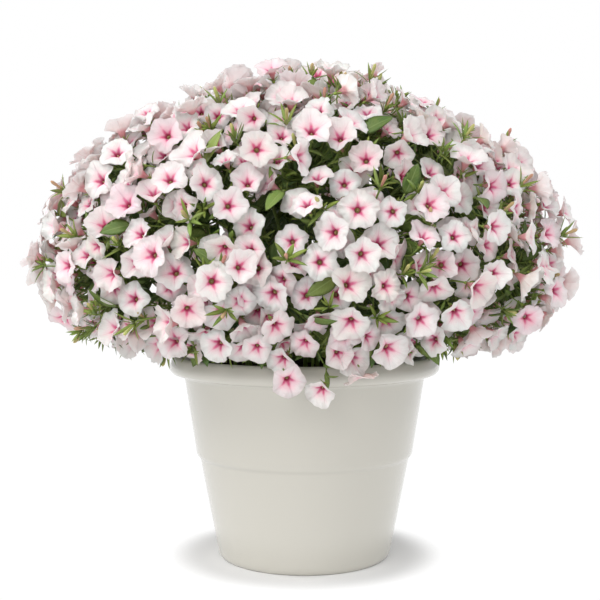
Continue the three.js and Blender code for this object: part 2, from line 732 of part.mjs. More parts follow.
// The green part of a shoot: its stem, its leafy side shoots with their buds, and its broad leaves
function greensOf(shoot) {
  const growth = new Growth();
  const head = growth.tube(stemPath(shoot), STEM_RADIUS, 4, squareTo(shoot.facing)[0]).pop();
  // a side shoot leaves the stem's head on one side, turns up at its elbow, and climbs to its base
  const climbTo = ({ side, elbow, base, hinge }, lean) => {
    const host = head[2 * shoot.sides.indexOf(side)];
    const climb = unit(sub(base, elbow));
    const axis = unit(add(side.out, scale(climb, ELBOW_LEAN)));
    growth.raise(host, triangleRing(elbow, axis, TWIG_RADIUS, hinge));
    growth.raise(host, triangleRing(base, unit(add(climb, lean)), TWIG_RADIUS, hinge));
    return host;
  };
  for (const tuft of shoot.tufts) {
    const { base, lean } = tuft;
    const turned = scale(tuft.corner, -1);
    const bud = climbTo(tuft, lean);
    const top = add(base, scale(lean, TUFT_HEIGHT));
    const widest = add(top, scale(lean, BUD_WIDEST));
    let free = growth.twist(bud, triangleRing(top, lean, TWIG_RADIUS, turned));
    growth.raise(bud, triangleRing(widest, lean, BUD_RADIUS, turned));
    growth.tip(bud, add(top, scale(lean, BUD_LENGTH)));
    for (const leaf of tuft.leaves) {
      const looks = (f) => dot(growth.normal(growth.faces[f]), leaf.out);
      const best = free.reduce((a, b) => (looks(b) > looks(a) ? b : a));
      free = free.filter((f) => f !== best);
      growLeaf(growth, best, leaf.out, lean, leaf.size, leaf.width);
    }
  }
  for (const leaf of shoot.broad)
    growLeaf(growth, climbTo(leaf, leaf.out), leaf.out, leaf.up, leaf.size, leaf.width);
  return growth.geometry();
}

// The planter and its soil

const lathe = (profile, sides) =>
  new THREE.LatheGeometry(
    profile.map(([r, z]) => new THREE.Vector2(r, z)),
    sides,
  ).rotateX(Math.PI / 2);

const POT_PROFILE = [
  [0, 0],
  [BASE_RADIUS - 3, 0],
  [BASE_RADIUS, 4],
  [BELT_RADIUS - 4.5, BELT_HEIGHT - 5],
  [BELT_RADIUS, BELT_HEIGHT + 1],
  [NECK_RADIUS, NECK_HEIGHT + 1],
  [NECK_RADIUS + 5, POT_HEIGHT - 30],
  [RIM_RADIUS - 5, POT_HEIGHT - 27],
  [RIM_RADIUS, POT_HEIGHT - 19],
  [RIM_RADIUS - 4.5, POT_HEIGHT - 4],
  [RIM_RADIUS - 8, POT_HEIGHT],
  [RIM_INSIDE, POT_HEIGHT],
  [NECK_RADIUS - WALL, NECK_HEIGHT],
  [BELT_RADIUS - WALL, BELT_HEIGHT],
  [BASE_RADIUS - WALL, FLOOR],
  [0, FLOOR],
];

// Height of the soil's top at a distance from the middle
function soilHeight(out) {
  const share = Math.min(1, out / (NECK_RADIUS - WALL));
  return SOIL_CROWN_HEIGHT + (SOIL_EDGE_HEIGHT - SOIL_CROWN_HEIGHT) * share * share;
}

// The inside of the rim widens above the neck, and the soil with it
const widening = (RIM_INSIDE - NECK_RADIUS + WALL) / (POT_HEIGHT - NECK_HEIGHT);
const soilEdge = NECK_RADIUS - WALL - SOIL_GAP + widening * (SOIL_EDGE_HEIGHT - NECK_HEIGHT);

const SOIL_PROFILE = [
  [0, FLOOR + SOIL_GAP],
  [BASE_RADIUS - WALL - SOIL_GAP, FLOOR + SOIL_GAP],
  [BELT_RADIUS - WALL - SOIL_GAP, BELT_HEIGHT],
  [NECK_RADIUS - WALL - SOIL_GAP, NECK_HEIGHT],
  [soilEdge, SOIL_EDGE_HEIGHT],
  [CROWN_RADIUS + 12, soilHeight(CROWN_RADIUS + 12)],
  [0, SOIL_CROWN_HEIGHT],
];

const wasm = await Module();
wasm.setup();

// A closed geometry as a solid for cutting, with its shared points merged, and back again
function solidOf(geometry) {
  const flat = geometry.index ? geometry.toNonIndexed() : geometry;
  const position = flat.getAttribute("position");
  const seen = new Map();
  const vertices = [];
  const triangles = [];
  for (let i = 0; i < position.count; i++) {
    const p = [position.getX(i), position.getY(i), position.getZ(i)];
    const key = p.map((v) => Math.round(v * 1000)).join();
    if (!seen.has(key)) {
      seen.set(key, seen.size);
      vertices.push(...p);
    }
    triangles.push(seen.get(key));
  }
  const kept = [];
  for (let i = 0; i < triangles.length; i += 3) {
    const [a, b, c] = triangles.slice(i, i + 3);
    if (a !== b && b !== c && c !== a) kept.push(a, b, c);
  }
  return new wasm.Manifold(
    new wasm.Mesh({
      numProp: 3,
      vertProperties: new Float32Array(vertices),
      triVerts: new Uint32Array(kept),
    }),
  );
}
function geometryOf(solid) {
  const mesh = solid.getMesh();
  const geometry = new THREE.BufferGeometry();
  geometry.setAttribute("position", new THREE.BufferAttribute(mesh.vertProperties, 3));
  geometry.setIndex(new THREE.BufferAttribute(mesh.triVerts, 1));
  return geometry;
}

function potGeometry() {
  let pot = solidOf(lathe(POT_PROFILE, SIDES));
  for (let i = 0; i < DRAIN_COUNT; i++) {
    const turn = (2 * Math.PI * (i + 0.5)) / DRAIN_COUNT;
    const hole = new THREE.CylinderGeometry(DRAIN_RADIUS, DRAIN_RADIUS, 4 * FLOOR, 8)
      .rotateX(Math.PI / 2)
      .translate(DRAIN_CIRCLE * Math.cos(turn), DRAIN_CIRCLE * Math.sin(turn), 0);
    pot = pot.subtract(solidOf(hole));
  }
  return geometryOf(pot);
}

// A stem is square, so its hole is that square, a little larger
function soilGeometry(shoots) {
  let soil = solidOf(lathe(SOIL_PROFILE, SIDES));
  for (const shoot of shoots) {
    const [x, y] = shoot.hole;
    const surface = soilHeight(Math.hypot(x, y));
    const corner = frames(stemPath(shoot), squareTo(shoot.facing)[0]).acrosses[0];
    const growth = new Growth();
    const path = [
      [x, y, surface - HOLE_DEPTH],
      [x, y, surface + HOLE_DEPTH],
    ];
    growth.tube(path, STEM_RADIUS + HOLE_GAP * Math.SQRT2, 4, corner);
    soil = soil.subtract(solidOf(growth.geometry()));
  }
  return geometryOf(soil);
}

const plant = new THREE.Group();
function addPiece(name, geometry, look) {
  const mesh = new THREE.Mesh(geometry, new THREE.MeshStandardMaterial(look));
  mesh.name = name;
  plant.add(mesh);
}

const shoots = planPlant();
addPiece("pot", potGeometry(), GLAZE);
addPiece("potting_soil", soilGeometry(shoots), SOIL);
shoots.forEach((shoot, k) => {
  const number = String(k + 1).padStart(2, "0");
  addPiece(`leafy_shoot_${number}`, greensOf(shoot), FOLIAGE);
  addPiece(`blooms_${number}`, flowersOf(shoot), PETAL);
});

export default plant;
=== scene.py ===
# A potted petunia in full flower: the looks of every surface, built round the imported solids.
#
# Metres, +Z up, -Y is the front. Each shoot's two solids, its green and its flowers, are read for where
# they hold a bloom, a bud or a leaf, and finer petals and leaves are built in the same places.
import math

import bpy
import numpy as np
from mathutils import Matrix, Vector
from mathutils.kdtree import KDTree


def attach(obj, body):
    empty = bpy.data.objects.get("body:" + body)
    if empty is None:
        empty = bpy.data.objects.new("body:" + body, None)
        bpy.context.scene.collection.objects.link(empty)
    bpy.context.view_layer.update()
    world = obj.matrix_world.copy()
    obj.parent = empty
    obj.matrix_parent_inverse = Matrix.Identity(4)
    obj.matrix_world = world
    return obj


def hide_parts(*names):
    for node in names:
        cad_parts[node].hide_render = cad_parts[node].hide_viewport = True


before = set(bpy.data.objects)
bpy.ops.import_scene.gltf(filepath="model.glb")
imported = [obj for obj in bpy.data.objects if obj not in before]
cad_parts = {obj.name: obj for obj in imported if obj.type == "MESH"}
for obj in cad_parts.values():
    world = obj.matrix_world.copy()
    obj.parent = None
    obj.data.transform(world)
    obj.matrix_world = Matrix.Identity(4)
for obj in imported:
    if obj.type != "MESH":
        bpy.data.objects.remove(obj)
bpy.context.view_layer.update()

MM = 0.001
UP = np.array([0, 0, 1.0])
SEED = 4241
random = np.random.default_rng(SEED)

# The dome of blooms
DOME_MIDDLE = 0.42 * UP
SHOOT_MIDDLE = 0.40 * UP  # from where shoots lean out
LOWEST_BLOOM = 322 * MM
SMALLEST_BLOOM = 17 * MM
BROAD_LEAF = 20 * MM  # the least width of one of the solids' broad leaves
SPREAD = (0.96, 1.08)  # of a bloom's wavy limb over the solid's
LEAN = 0.62  # of the height of the way a bloom faces
SWAY = 0.20  # how far it turns from there at random
THROAT_SINK = 0.32  # of the solid's throat behind the bloom's middle

# Blooms added between those of the solids
ADDED_LIMIT = 425
ADDED_TRIES = 5000
ADDED_FITS = (0.97, 0.91, 0.85)  # least mean reach of the lobes, pass by pass
ADDED_RADIUS = (18.5 * MM, 23 * MM)
ADDED_SWAY = 0.42
# reach and lift that a lobe tries in turn, in radii
FITS = [(1.0, 0.0), (0.97, 0.3), (0.97, -0.3), (0.88, 0.55), (0.88, -0.5), (0.74, 0.0), (0.72, 0.75)]
# blooms that hang over the front of the rim, in mm
TRAILING = [
    (-27, -272, 322), (-18, -282, 297), (20, -268, 287),
    (-64, -278, 331), (66, -262, 322), (40, -276, 330),
]
TRAILING_TRIES = 30

# Greens added among the blooms
TIP_LIMIT = 112
TIP_TRIES = 3000
STALK_LEAVES = 4
INNER_LEAVES = 22
STEM_LEAVES = 9
SKIRT_SHOOTS = 34
SKIRT_LEAVES = 12
LEAF_TURN = 2.4  # from one leaf to the next round a stem

# Room kept round what is added
THROAT_ROOM = 5 * MM
STALK_ROOM = 3 * MM
PETAL_ROOM = 3.8 * MM
LEAF_ROOM = 3.2 * MM
TIP_ROOM = 6.5 * MM
FRESH_LIMIT = 600  # points searched one by one before they go into the tree

# Bloom, as shares of its radius
LOBES = 5
LOBE_STEPS = 7
PETAL_THICKNESS = 0.5 * MM
# from the rim to the bottom of the tube: place on the petal, distance out, height
PROFILE = np.array([
    (1.00, 1.000, 0.035), (0.88, 0.870, 0.022), (0.70, 0.680, -0.020), (0.52, 0.485, -0.085),
    (0.37, 0.335, -0.185), (0.24, 0.220, -0.310), (0.12, 0.155, -0.450), (0.00, 0.115, -0.640),
])
BACK_ROWS = (2, 5)
TUBE = [(0.105, -0.70), (0.072, -0.95)]  # outside of the tube, on to the calyx
THROAT_FLOOR = -0.66
STIGMA = (-0.64, -0.48, -0.40)
CALYX = -0.95
# an added bloom is partly hidden, so it has fewer rows and points
ADDED_ROWS = (0, 2, 3, 4, 5, 7)
ADDED_STEPS = 5
# how blooms and lobes differ: mean and spread of each random draw
CUP = (0.08, 0.15)
LOBE_SIZE = (0, 0.055)
LOBE_LIFT = (-0.02, 0.13)
RIPPLE = (0, 0.034)
TEETH = (0, 0.018)
RIPPLES = (2, 3, 7, 11, 15)  # waves round the limb
SCALLOP = 0.030
NOTCH = 0.22
RIB_DEPTH = 0.040
FOLD_HEIGHT = 0.030

STALK_RADIUS = 1.1 * MM
STEM_RADIUS = 3.3 * MM
TWIG_RADIUS = 1.4 * MM
KNOT_RADIUS = 16 * MM  # of the solid's knot of stalks
SEPAL_LENGTH = 11 * MM
SEPAL_WIDTH = 2.6 * MM
LEAF_THICKNESS = 0.5 * MM

# Colours of petals and leaves
PETAL_WHITE = np.array([0.82, 0.785, 0.765])
PETAL_PINK = np.array([0.84, 0.60, 0.655])
PETAL_FADING = np.array([0.10, 0.14, 0.24])  # share lost with age
GREEN_YOUNG = np.array([0.26, 0.35, 0.065])
GREEN_OLD = np.array([0.045, 0.105, 0.018])
GREEN_STALK = np.array([0.17, 0.25, 0.05])
BUD_GREEN = np.array([0.42, 0.46, 0.16])
BUD_ROSE = np.array([0.46, 0.22, 0.18])

# Planter profile: radius and height in mm
POT_PROFILE = [
    (0, 0), (126, 0), (128.5, 2), (130.5, 7), (131.5, 12), (157.4, 148), (158.4, 151.5),
    (161.4, 153.6), (163.0, 157.5), (163.8, 163), (180.2, 268), (181.0, 271.5), (184, 274.0),
    (191, 274.8), (198.5, 277.4), (202.0, 281.5), (203, 286.5), (201.8, 292), (199.2, 299),
    (197.6, 302.3), (195.2, 303.8), (192.6, 303.2), (190.6, 300.6), (189.6, 296), (176.2, 268),
    (157.5, 157), (124, 7), (0, 7),
]
POT_SIDES = 160
SOIL_PROFILE = [(0, 8), (122, 8), (175.4, 262)]
SOIL_HEIGHT = 281
SOIL_EDGE = 181.4
SOIL_RINGS = 30
SOIL_SIDES = 120
# what petals and leaves stay out of
RIM_TOP = 309 * MM
RIM_INSIDE = 178 * MM
RIM_OUTSIDE = 210 * MM
SOIL_TOP = 292 * MM
SOIL_OUTSIDE = 180 * MM

# Camera, from the photograph's perspective
CAMERA_DISTANCE = 1.683
CAMERA_HEIGHT = 0.460
CAMERA_PITCH = math.radians(2.57)
CAMERA_YAW = math.radians(0.23)
LENS = 66.9
SENSOR = 36.0

# Soft lights: name, place, aim, width and height, power, colour
LIGHTS = [
    ("key", (-1.2, -1.9, 2.9), (0, 0, 0.45), (1.8, 1.8), 58, (1.0, 0.985, 0.96)),
    ("side", (-2.6, 0.3, 2.2), (0, 0, 0.5), (1.4, 1.4), 32, (1, 1, 1)),
    ("side", (2.6, 0.3, 2.2), (0, 0, 0.5), (1.4, 1.4), 32, (1, 1, 1)),
    ("front", (-0.7, -3.2, 1.0), (0, 0, 0.35), (1.0, 1.8), 30, (1.0, 0.99, 0.975)),
]
AMBIENT = 0.54
FLOOR_SIZE = 30
PAINTED_SHADE_REACH = (0.125, 0.25)  # from the planter's axis, from full painted shade, where the floor's glow is gone, to none


def unit(v):
    v = np.asarray(v, float)
    return v / np.linalg.norm(v, axis=-1, keepdims=True)


def onto(v, axis):
    """v turned square to an axis."""
    return unit(v - axis * np.dot(v, axis))


def square_to(axis):
    """Two directions square to an axis and to each other."""
    helper = UP if abs(axis[2]) < 0.9 else np.array([1.0, 0, 0])
    across = unit(np.cross(helper, axis))
    return across, np.cross(axis, across)


def turned(across, along, turn):
    """The direction at an angle from across towards along."""
    return across * math.cos(turn) + along * math.sin(turn)


def turns_round(count):
    return np.arange(count) * 2 * np.pi / count


def spokes(across, along, turns):
    return np.outer(np.cos(turns), across) + np.outer(np.sin(turns), along)


def smooth(x, low, high):
    t = np.clip((x - low) / (high - low), 0, 1)
    return t * t * (3 - 2 * t)


def curve(a, b, c, d, steps):
    """Points of a Bezier curve."""
    t = np.linspace(0, 1, steps)[:, None]
    return (1 - t) ** 3 * a + 3 * t * (1 - t) ** 2 * b + 3 * t * t * (1 - t) * c + t**3 * d


def spot_on(path, share):
    """The point at a share of a path, and the way that the path goes there."""
    spot = share * (len(path) - 1)
    i = min(int(spot), len(path) - 2)
    return path[i] + (spot - i) * (path[i + 1] - path[i]), unit(path[i + 1] - path[i])


class Clay:
    """A mesh that grows part by part, with a place, a tint and a material for each part."""

    def __init__(self):
        self.points, self.places, self.tints = [], [], []
        self.faces, self.looks, self.creases = [], [], []
        self.count = 0

    def add(self, points, faces, places, tint, look=0, creases=()):
        points = np.asarray(points, float).reshape(-1, 3)
        self.creases.extend((a + self.count, b + self.count) for a, b in creases)
        self.points.append(points)
        self.places.append(np.broadcast_to(np.asarray(places, float), (len(points), 3)))
        self.tints.append(np.broadcast_to(np.asarray(tint, float), (len(points), 3)))
        self.faces.extend(tuple(i + self.count for i in face) for face in faces)
        self.looks.extend([look] * len(faces))
        self.count += len(points)

    def mark_creases(self, mesh):
        """Shade the two sides of a thin edge apart."""
        if not self.creases:
            return
        ends = np.zeros(2 * len(mesh.edges), int)
        mesh.edges.foreach_get("vertices", ends)
        keys = np.sort(ends.reshape(-1, 2), axis=1) @ [self.count, 1]
        wanted = np.sort(np.array(self.creases), axis=1) @ [self.count, 1]
        layer = mesh.attributes.new("sharp_edge", "BOOLEAN", "EDGE")
        layer.data.foreach_set("value", np.isin(keys, wanted))

    def piece(self, name, materials, node, slot):
        """The object made of the mesh, in place of a node's solid."""
        mesh = bpy.data.meshes.new(name)
        mesh.from_pydata(np.vstack(self.points).tolist(), [], self.faces)
        for material in materials:
            mesh.materials.append(material)
        mesh.polygons.foreach_set("material_index", self.looks)
        mesh.polygons.foreach_set("use_smooth", [True] * len(self.faces))
        self.mark_creases(mesh)
        for attribute, values in (("place", self.places), ("tint", self.tints)):
            layer = mesh.attributes.new(attribute, "FLOAT_VECTOR", "POINT")
            layer.data.foreach_set("vector", np.vstack(values).astype(np.float32).ravel())
        mesh.update()
        made = bpy.data.objects.new(name, mesh)
        bpy.context.scene.collection.objects.link(made)
        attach(made, "root")
        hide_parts(node)
        return made


def capped_faces(rings, around):
    """Quads between rings of points that follow each other, and caps to the two points after them."""
    faces = []
    for r in range(rings - 1):
        for i in range(around):
            j = (i + 1) % around
            a, b = r * around, (r + 1) * around
            faces.append((a + i, a + j, b + j, b + i))
    count = rings * around
    last = count - around
    for i in range(around):
        j = (i + 1) % around
        faces.append((j, i, count))
        faces.append((last + i, last + j, count + 1))
    return faces


def tube(clay, path, radii, sides, tint, place=(0, 0, 0), look=0):
    """A closed tube of rings along a path."""
    path = np.asarray(path, float)
    aheads = unit(np.gradient(path, axis=0))
    across = square_to(aheads[0])[0]
    turns = turns_round(sides)
    rings = []
    for point, ahead, radius in zip(path, aheads, radii):
        across = onto(across, ahead)
        rings.append(point + radius * spokes(across, np.cross(ahead, across), turns))
    points = np.vstack([*rings, path[:1], path[-1:]])
    clay.add(points, capped_faces(len(path), sides), place, tint, look)


# What the solids hold

def read_solid(name):
    """A node's merged points, and for each point those that share an edge with it."""
    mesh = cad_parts[name].data
    co = np.zeros(len(mesh.vertices) * 3)
    mesh.vertices.foreach_get("co", co)
    co = co.reshape(-1, 3)
    grid = np.round(co * 1e5).astype(int)
    _, first, merged = np.unique(grid, axis=0, return_index=True, return_inverse=True)
    merged = merged.ravel()
    joined = [set() for _ in first]
    for edge in mesh.edges:
        a, b = (merged[i] for i in edge.vertices)
        if a != b:
            joined[a].add(b)
            joined[b].add(a)
    return co[first], joined


def next_to(joined, group, *known):
    """Points joined to a group, apart from the group's own and those known already."""
    found = set().union(*(joined[i] for i in group)) - set(group)
    return found.difference(*known) if known else found


def middle_of(points, group):
    return points[sorted(group)].mean(0)


def is_even(arms, facing):
    """True if the arms point evenly round an axis, to within 0.2 radians."""
    across, along = square_to(facing)
    turns = np.sort(np.arctan2(arms @ along, arms @ across))
    gaps = np.diff([*turns, turns[0] + 2 * np.pi])
    return np.abs(gaps - 2 * np.pi / len(arms)).max() < 0.2


def read_blooms(name):
    """Each bloom of a node: a throat with five or ten rim points round it, five of them tips."""
    points, joined = read_solid(name)
    blooms, lines = [], []
    for throat, rim in enumerate(joined):
        if len(rim) not in (LOBES, 2 * LOBES):
            continue
        ring = points[sorted(rim)]
        middle = ring.mean(0)
        arms = ring - middle
        facing = unit(middle - points[throat])
        reach = np.linalg.norm(arms - np.outer(arms @ facing, facing), axis=1)
        radius = np.sort(reach)[-LOBES:].mean()
        if radius < SMALLEST_BLOOM or reach.min() < 0.8 * radius or not is_even(arms, facing):
            continue
        neck = next_to(joined, rim, {throat})
        host = next_to(joined, neck, rim)
        behind = middle_of(points, neck)
        way = unit(behind - middle_of(points, host))
        lines.append((behind, way))
        at = points[throat] + THROAT_SINK * radius * facing
        leaning = facing * [1, 1, LEAN if facing[2] > 0 else 1]
        facing = unit(leaning + random.normal(0, SWAY, 3))
        blooms.append({
            "at": at,
            "facing": facing,
            "radius": random.uniform(*SPREAD) * radius,
            "lobe": onto(arms[reach.argmax()], facing),
            "way": way,
        })
    # the knot is where the stalks' lines meet
    left, right = np.zeros((3, 3)), np.zeros(3)
    for point, way in lines:
        flat = np.eye(3) - np.outer(way, way)
        left += flat
        right += flat @ point
    return blooms, np.linalg.solve(left, right)


def read_greens(name, heart):
    """The leaves, buds and twigs of a node, each found from its tip, and the stem's two ends."""
    points, joined = read_solid(name)
    leaves, twigs, buds = [], [], []
    rings = {tip: near for tip, near in enumerate(joined) if len(near) == 3}
    leaf_rings = set().union(*rings.values())
    for tip, ring in rings.items():
        corners = points[sorted(ring)]
        spans = np.linalg.norm(corners - np.roll(corners, 1, axis=0), axis=1)
        base = next_to(joined, ring, {tip})
        # a bud is round, and a leaf is flat
        if spans.max() < 1.25 * spans.min():
            foot = next_to(joined, base, leaf_rings)
            bend = next_to(joined, foot, base, leaf_rings)
            start = next_to(joined, bend, foot)
            buds.append({"base": middle_of(points, base), "tip": points[tip]})
            twigs.append([middle_of(points, group) for group in (start, bend, foot, base)])
            continue
        widest = spans.argmax()
        leaves.append({
            "base": middle_of(points, base),
            "tip": points[tip],
            "side": unit(corners[widest] - corners[widest - 1]),
            "width": spans[widest],
        })
        if spans[widest] > BROAD_LEAF:
            bend = next_to(joined, base, ring)
            start = next_to(joined, bend, base)
            twigs.append([middle_of(points, group) for group in (start, bend, base)])
    # the stem has four sides
    end = points[np.argsort(np.linalg.norm(points - heart, axis=1))[:4]].mean(0)
    foot = points[np.argsort(points[:, 2])[:4]].mean(0)
    return {"leaves": leaves, "buds": buds, "twigs": twigs, "end": end, "foot": foot}


def read_shoots():
    shoots = []
    for name in sorted(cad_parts):
        if not name.startswith("blooms_"):
            continue
        number = name.split("_")[1]
        blooms, heart = read_blooms(name)
        shoot = read_greens("leafy_shoot_" + number, heart)
        ahead = unit(heart - shoot["end"])
        shoot.update(number=number, blooms=blooms, heart=heart, ahead=ahead, tips=[])
        shoots.append(shoot)
    return shoots


# Room for what is added

class Room:
    """Points of what has been placed, so that what is added stays clear of them."""

    def __init__(self):
        self.points = []
        self.fresh = []
        self.tree = None

    def take(self, points):
        self.fresh.extend(np.asarray(points).reshape(-1, 3).tolist())
        if len(self.fresh) > FRESH_LIMIT:
            self.points.extend(self.fresh)
            self.fresh = []
            self.tree = KDTree(len(self.points))
            for i, point in enumerate(self.points):
                self.tree.insert(point, i)
            self.tree.balance()

    def is_free(self, points, clearance):
        if self.points and any(self.tree.find(point)[2] < clearance for point in points):
            return False
        if not self.fresh:
            return True
        apart = np.asarray(points)[:, None] - np.asarray(self.fresh)[None]
        return (apart**2).sum(-1).min() > clearance**2


def axes_of(bloom):
    """A bloom's middle and radius, the way it faces, the way of a lobe, and the way square to both."""
    facing, across = bloom["facing"], bloom["lobe"]
    return bloom["at"], bloom["radius"], facing, across, np.cross(facing, across)


def limb_points(bloom):
    """Points spread over a bloom's limb and down its tube, for telling what is in its way."""
    at, radius, facing, across, along = axes_of(bloom)
    points = [at - radius * sink * facing for sink in (0.55, 0.8, 1.05)]
    for count, out, sink in ((1, 0, 0.3), (7, 0.35, 0.12), (12, 0.6, 0), (18, 0.8, 0), (24, 1, 0)):
        for turn in turns_round(count):
            points.append(at + radius * (out * turned(across, along, turn) - sink * facing))
    return points


def room_between(shoots):
    room = Room()
    for shoot in shoots:
        for bloom in shoot["blooms"]:
            room.take(limb_points(bloom))
    return room


def clears_pot(points):
    """True if no point is in the planter's wall, rim or soil."""
    for x, y, z in points:
        out = math.hypot(x, y)
        if z < RIM_TOP and RIM_INSIDE < out < RIM_OUTSIDE:
            return False
        if z < SOIL_TOP and out < SOIL_OUTSIDE:
            return False
    return True


# Added blooms, in the gaps between those of the solids

def fit_lobes(bloom, room, least):
    """Set each lobe's reach and lift to stay clear of what is near; the points taken, or None."""
    at, radius, facing, across, along = axes_of(bloom)
    fits, taken = [], []
    for k in range(LOBES):
        for reach, lift in FITS:
            points = []
            for turn in 2 * np.pi * k / LOBES + np.array([-0.45, 0, 0.45]):
                level = turned(across, along, turn)
                for share in (0.55, 0.8, 1.0):
                    points.append(at + radius * (share * reach * level + lift * share**2 * facing))
            if room.is_free(points, PETAL_ROOM):
                break
        else:
            return None
        fits.append((reach, lift))
        taken.extend(points)
    fits = np.array(fits)
    if fits[:, 0].mean() < least:
        return None
    bloom["fits"] = fits
    return taken


class Dome:
    """The face that the blooms make together, seen from inside."""

    def __init__(self, shoots):
        pairs = [(shoot, bloom) for shoot in shoots for bloom in shoot["blooms"]]
        self.shoots = [shoot for shoot, _ in pairs]
        self.facings = np.array([bloom["facing"] for _, bloom in pairs])
        arms = np.array([bloom["at"] for _, bloom in pairs]) - DOME_MIDDLE
        self.reaches = np.linalg.norm(arms, axis=1)
        self.ways = unit(arms)

    def spot(self):
        """A shoot, and a place on the dome with the way that its neighbours face."""
        way = unit(random.normal(size=3))
        near = np.argsort(self.ways @ way)[-4:]
        at = DOME_MIDDLE + way * self.reaches[near].mean()
        return self.shoots[near[random.integers(1, 4)]], at, unit(self.facings[near].mean(0))


def place_bloom(shoot, at, facing, least, room, hanging=False):
    """Add a bloom to a shoot if it, its tube and its stalk find room there."""
    radius = random.uniform(*ADDED_RADIUS)
    neck = at - 0.9 * radius * facing
    way = unit(neck - shoot["heart"])
    # its stalk doesn't turn back on itself
    if way @ facing < 0.2 or way @ shoot["ahead"] < (-0.3 if hanging else 0.0):
        return False
    added = {"at": at, "facing": facing, "radius": radius, "way": way, "lobe": square_to(facing)[0]}
    throat = [at - sink * radius * facing for sink in (0.2, 0.5, 0.8, 1.05)]
    stalk = [neck + share * (shoot["heart"] - neck) for share in (0.1, 0.25, 0.4)]
    if not clears_pot(limb_points(added) + stalk):
        return False
    if not room.is_free(throat, THROAT_ROOM) or not room.is_free(stalk, STALK_ROOM):
        return False
    taken = fit_lobes(added, room, least)
    if taken is None:
        return False
    room.take(taken + throat)
    shoot["blooms"].append(added)
    return True


def add_blooms(shoots, room):
    dome = Dome(shoots)
    # over the front of the rim
    for place in TRAILING:
        middle = np.array(place) * MM
        shoot = min(shoots, key=lambda each: np.linalg.norm(each["heart"] - middle))
        for _ in range(TRAILING_TRIES):
            at = middle + random.normal(0, 5 * MM, 3)
            facing = unit([2 * at[0], -0.85, -0.25] + random.normal(0, 0.2, 3))
            if place_bloom(shoot, at, facing, ADDED_FITS[-1], room, hanging=True):
                break
    # all over the dome, those with the most room first
    added_count = 0
    for least in ADDED_FITS:
        for _ in range(ADDED_TRIES):
            shoot, at, normal = dome.spot()
            at = at - random.uniform(-8, 24) * MM * normal
            facing = unit(normal + random.normal(0, ADDED_SWAY, 3))
            if added_count < ADDED_LIMIT and at[2] > LOWEST_BLOOM:
                added_count += place_bloom(shoot, at, facing, least, room)


# Blooms

def grow_bloom(clay, bloom):
    """A trumpet bloom with a thin double wall, its five lobes fused into a wavy limb."""
    at, radius, facing, across, along = axes_of(bloom)
    fits = bloom.get("fits")
    whole = fits is None
    around = LOBES * (LOBE_STEPS if whole else ADDED_STEPS)
    front = PROFILE if whole else PROFILE[list(ADDED_ROWS)]
    turns = turns_round(around)
    # which lobe each point is on, and its place across it, from -1 to 1
    passed = turns * LOBES / (2 * np.pi) + 0.5
    which = np.floor(passed).astype(int) % LOBES
    lobe = (passed % 1) * 2 - 1

    cup = random.normal(*CUP)
    lobe_size = random.normal(*LOBE_SIZE, LOBES)[which] * (1 - lobe**2)
    lobe_lift = random.normal(*LOBE_LIFT, LOBES)[which] * (1 - lobe**2)
    ripples = 0
    for waves in RIPPLES:
        ripples = ripples + random.normal(*RIPPLE) * np.cos(turns * waves + random.uniform(0, 2 * np.pi))
    # scallops and small teeth along the edge
    frill = SCALLOP * np.cos(3 * np.pi * lobe) + random.normal(*TEETH, around)
    outline = 1.05 - NOTCH * np.abs(lobe) ** 2.1 + lobe_size + frill
    bend = 0
    if not whole:
        centres = turns_round(LOBES)
        outline = outline * np.interp(turns, centres, fits[:, 0], period=2 * np.pi)
        bend = np.interp(turns, centres, fits[:, 1], period=2 * np.pi)

    rings, places = [], []

    def add_ring(place, out, height, side, shown, back=(0, 0)):
        reach = out * (1 + (outline - 1) * place**2)
        arch = (0.12 * np.abs(lobe) ** 1.5 - 0.07) * place**2.5
        level = height + cup * place**2.2 + arch + bend * place**2
        level = level + (ripples + lobe_lift) * smooth(place, 0.4, 1.0)
        # creases along the middle of each lobe and between lobes
        level = level - RIB_DEPTH * np.exp(-((lobe / 0.20) ** 2)) * smooth(place, 0.2, 0.55)
        level = level + FOLD_HEIGHT * smooth(np.abs(lobe), 0.6, 1.0) * smooth(place, 0.2, 0.55)
        reach = radius * reach + back[0]
        level = radius * level + back[1]
        flat = spokes(across, along, turns)
        rings.append(at + flat * np.reshape(reach, (-1, 1)) + np.outer(level, facing))
        places.append(np.column_stack([np.abs(lobe), np.full(around, shown), np.full(around, side)]))

    for place, out, height in front[::-1]:
        add_ring(place, out, height, 0, place)
    slopes = unit(np.gradient(PROFILE[:, 1:], axis=0))
    for row in BACK_ROWS:
        place, out, height = PROFILE[row]
        add_ring(place, out, height, 1, place, PETAL_THICKNESS * np.array([-slopes[row][1], slopes[row][0]]))
    for out, height in TUBE[0 if whole else 1:]:
        add_ring(0, out, height, 1, height + 0.6)
    points = np.vstack([*rings, [at + THROAT_FLOOR * radius * facing, at + CALYX * radius * facing]])
    places = np.vstack([*places, [(0, 0, 0), (0, -0.3, 1)]])
    rim = (len(front) - 1) * around
    edge = [(rim + i, rim + (i + 1) % around) for i in range(around)]
    clay.add(points, capped_faces(len(rings), around), places, bloom["tint"], creases=edge)
    # the pale stigma and anthers in the throat
    middle_line = [at + height * radius * facing for height in STIGMA]
    tube(clay, middle_line, [0.4 * MM, 0.9 * MM, 0.5 * MM], 5, (0.8, 0.85, 0.5), look=1)


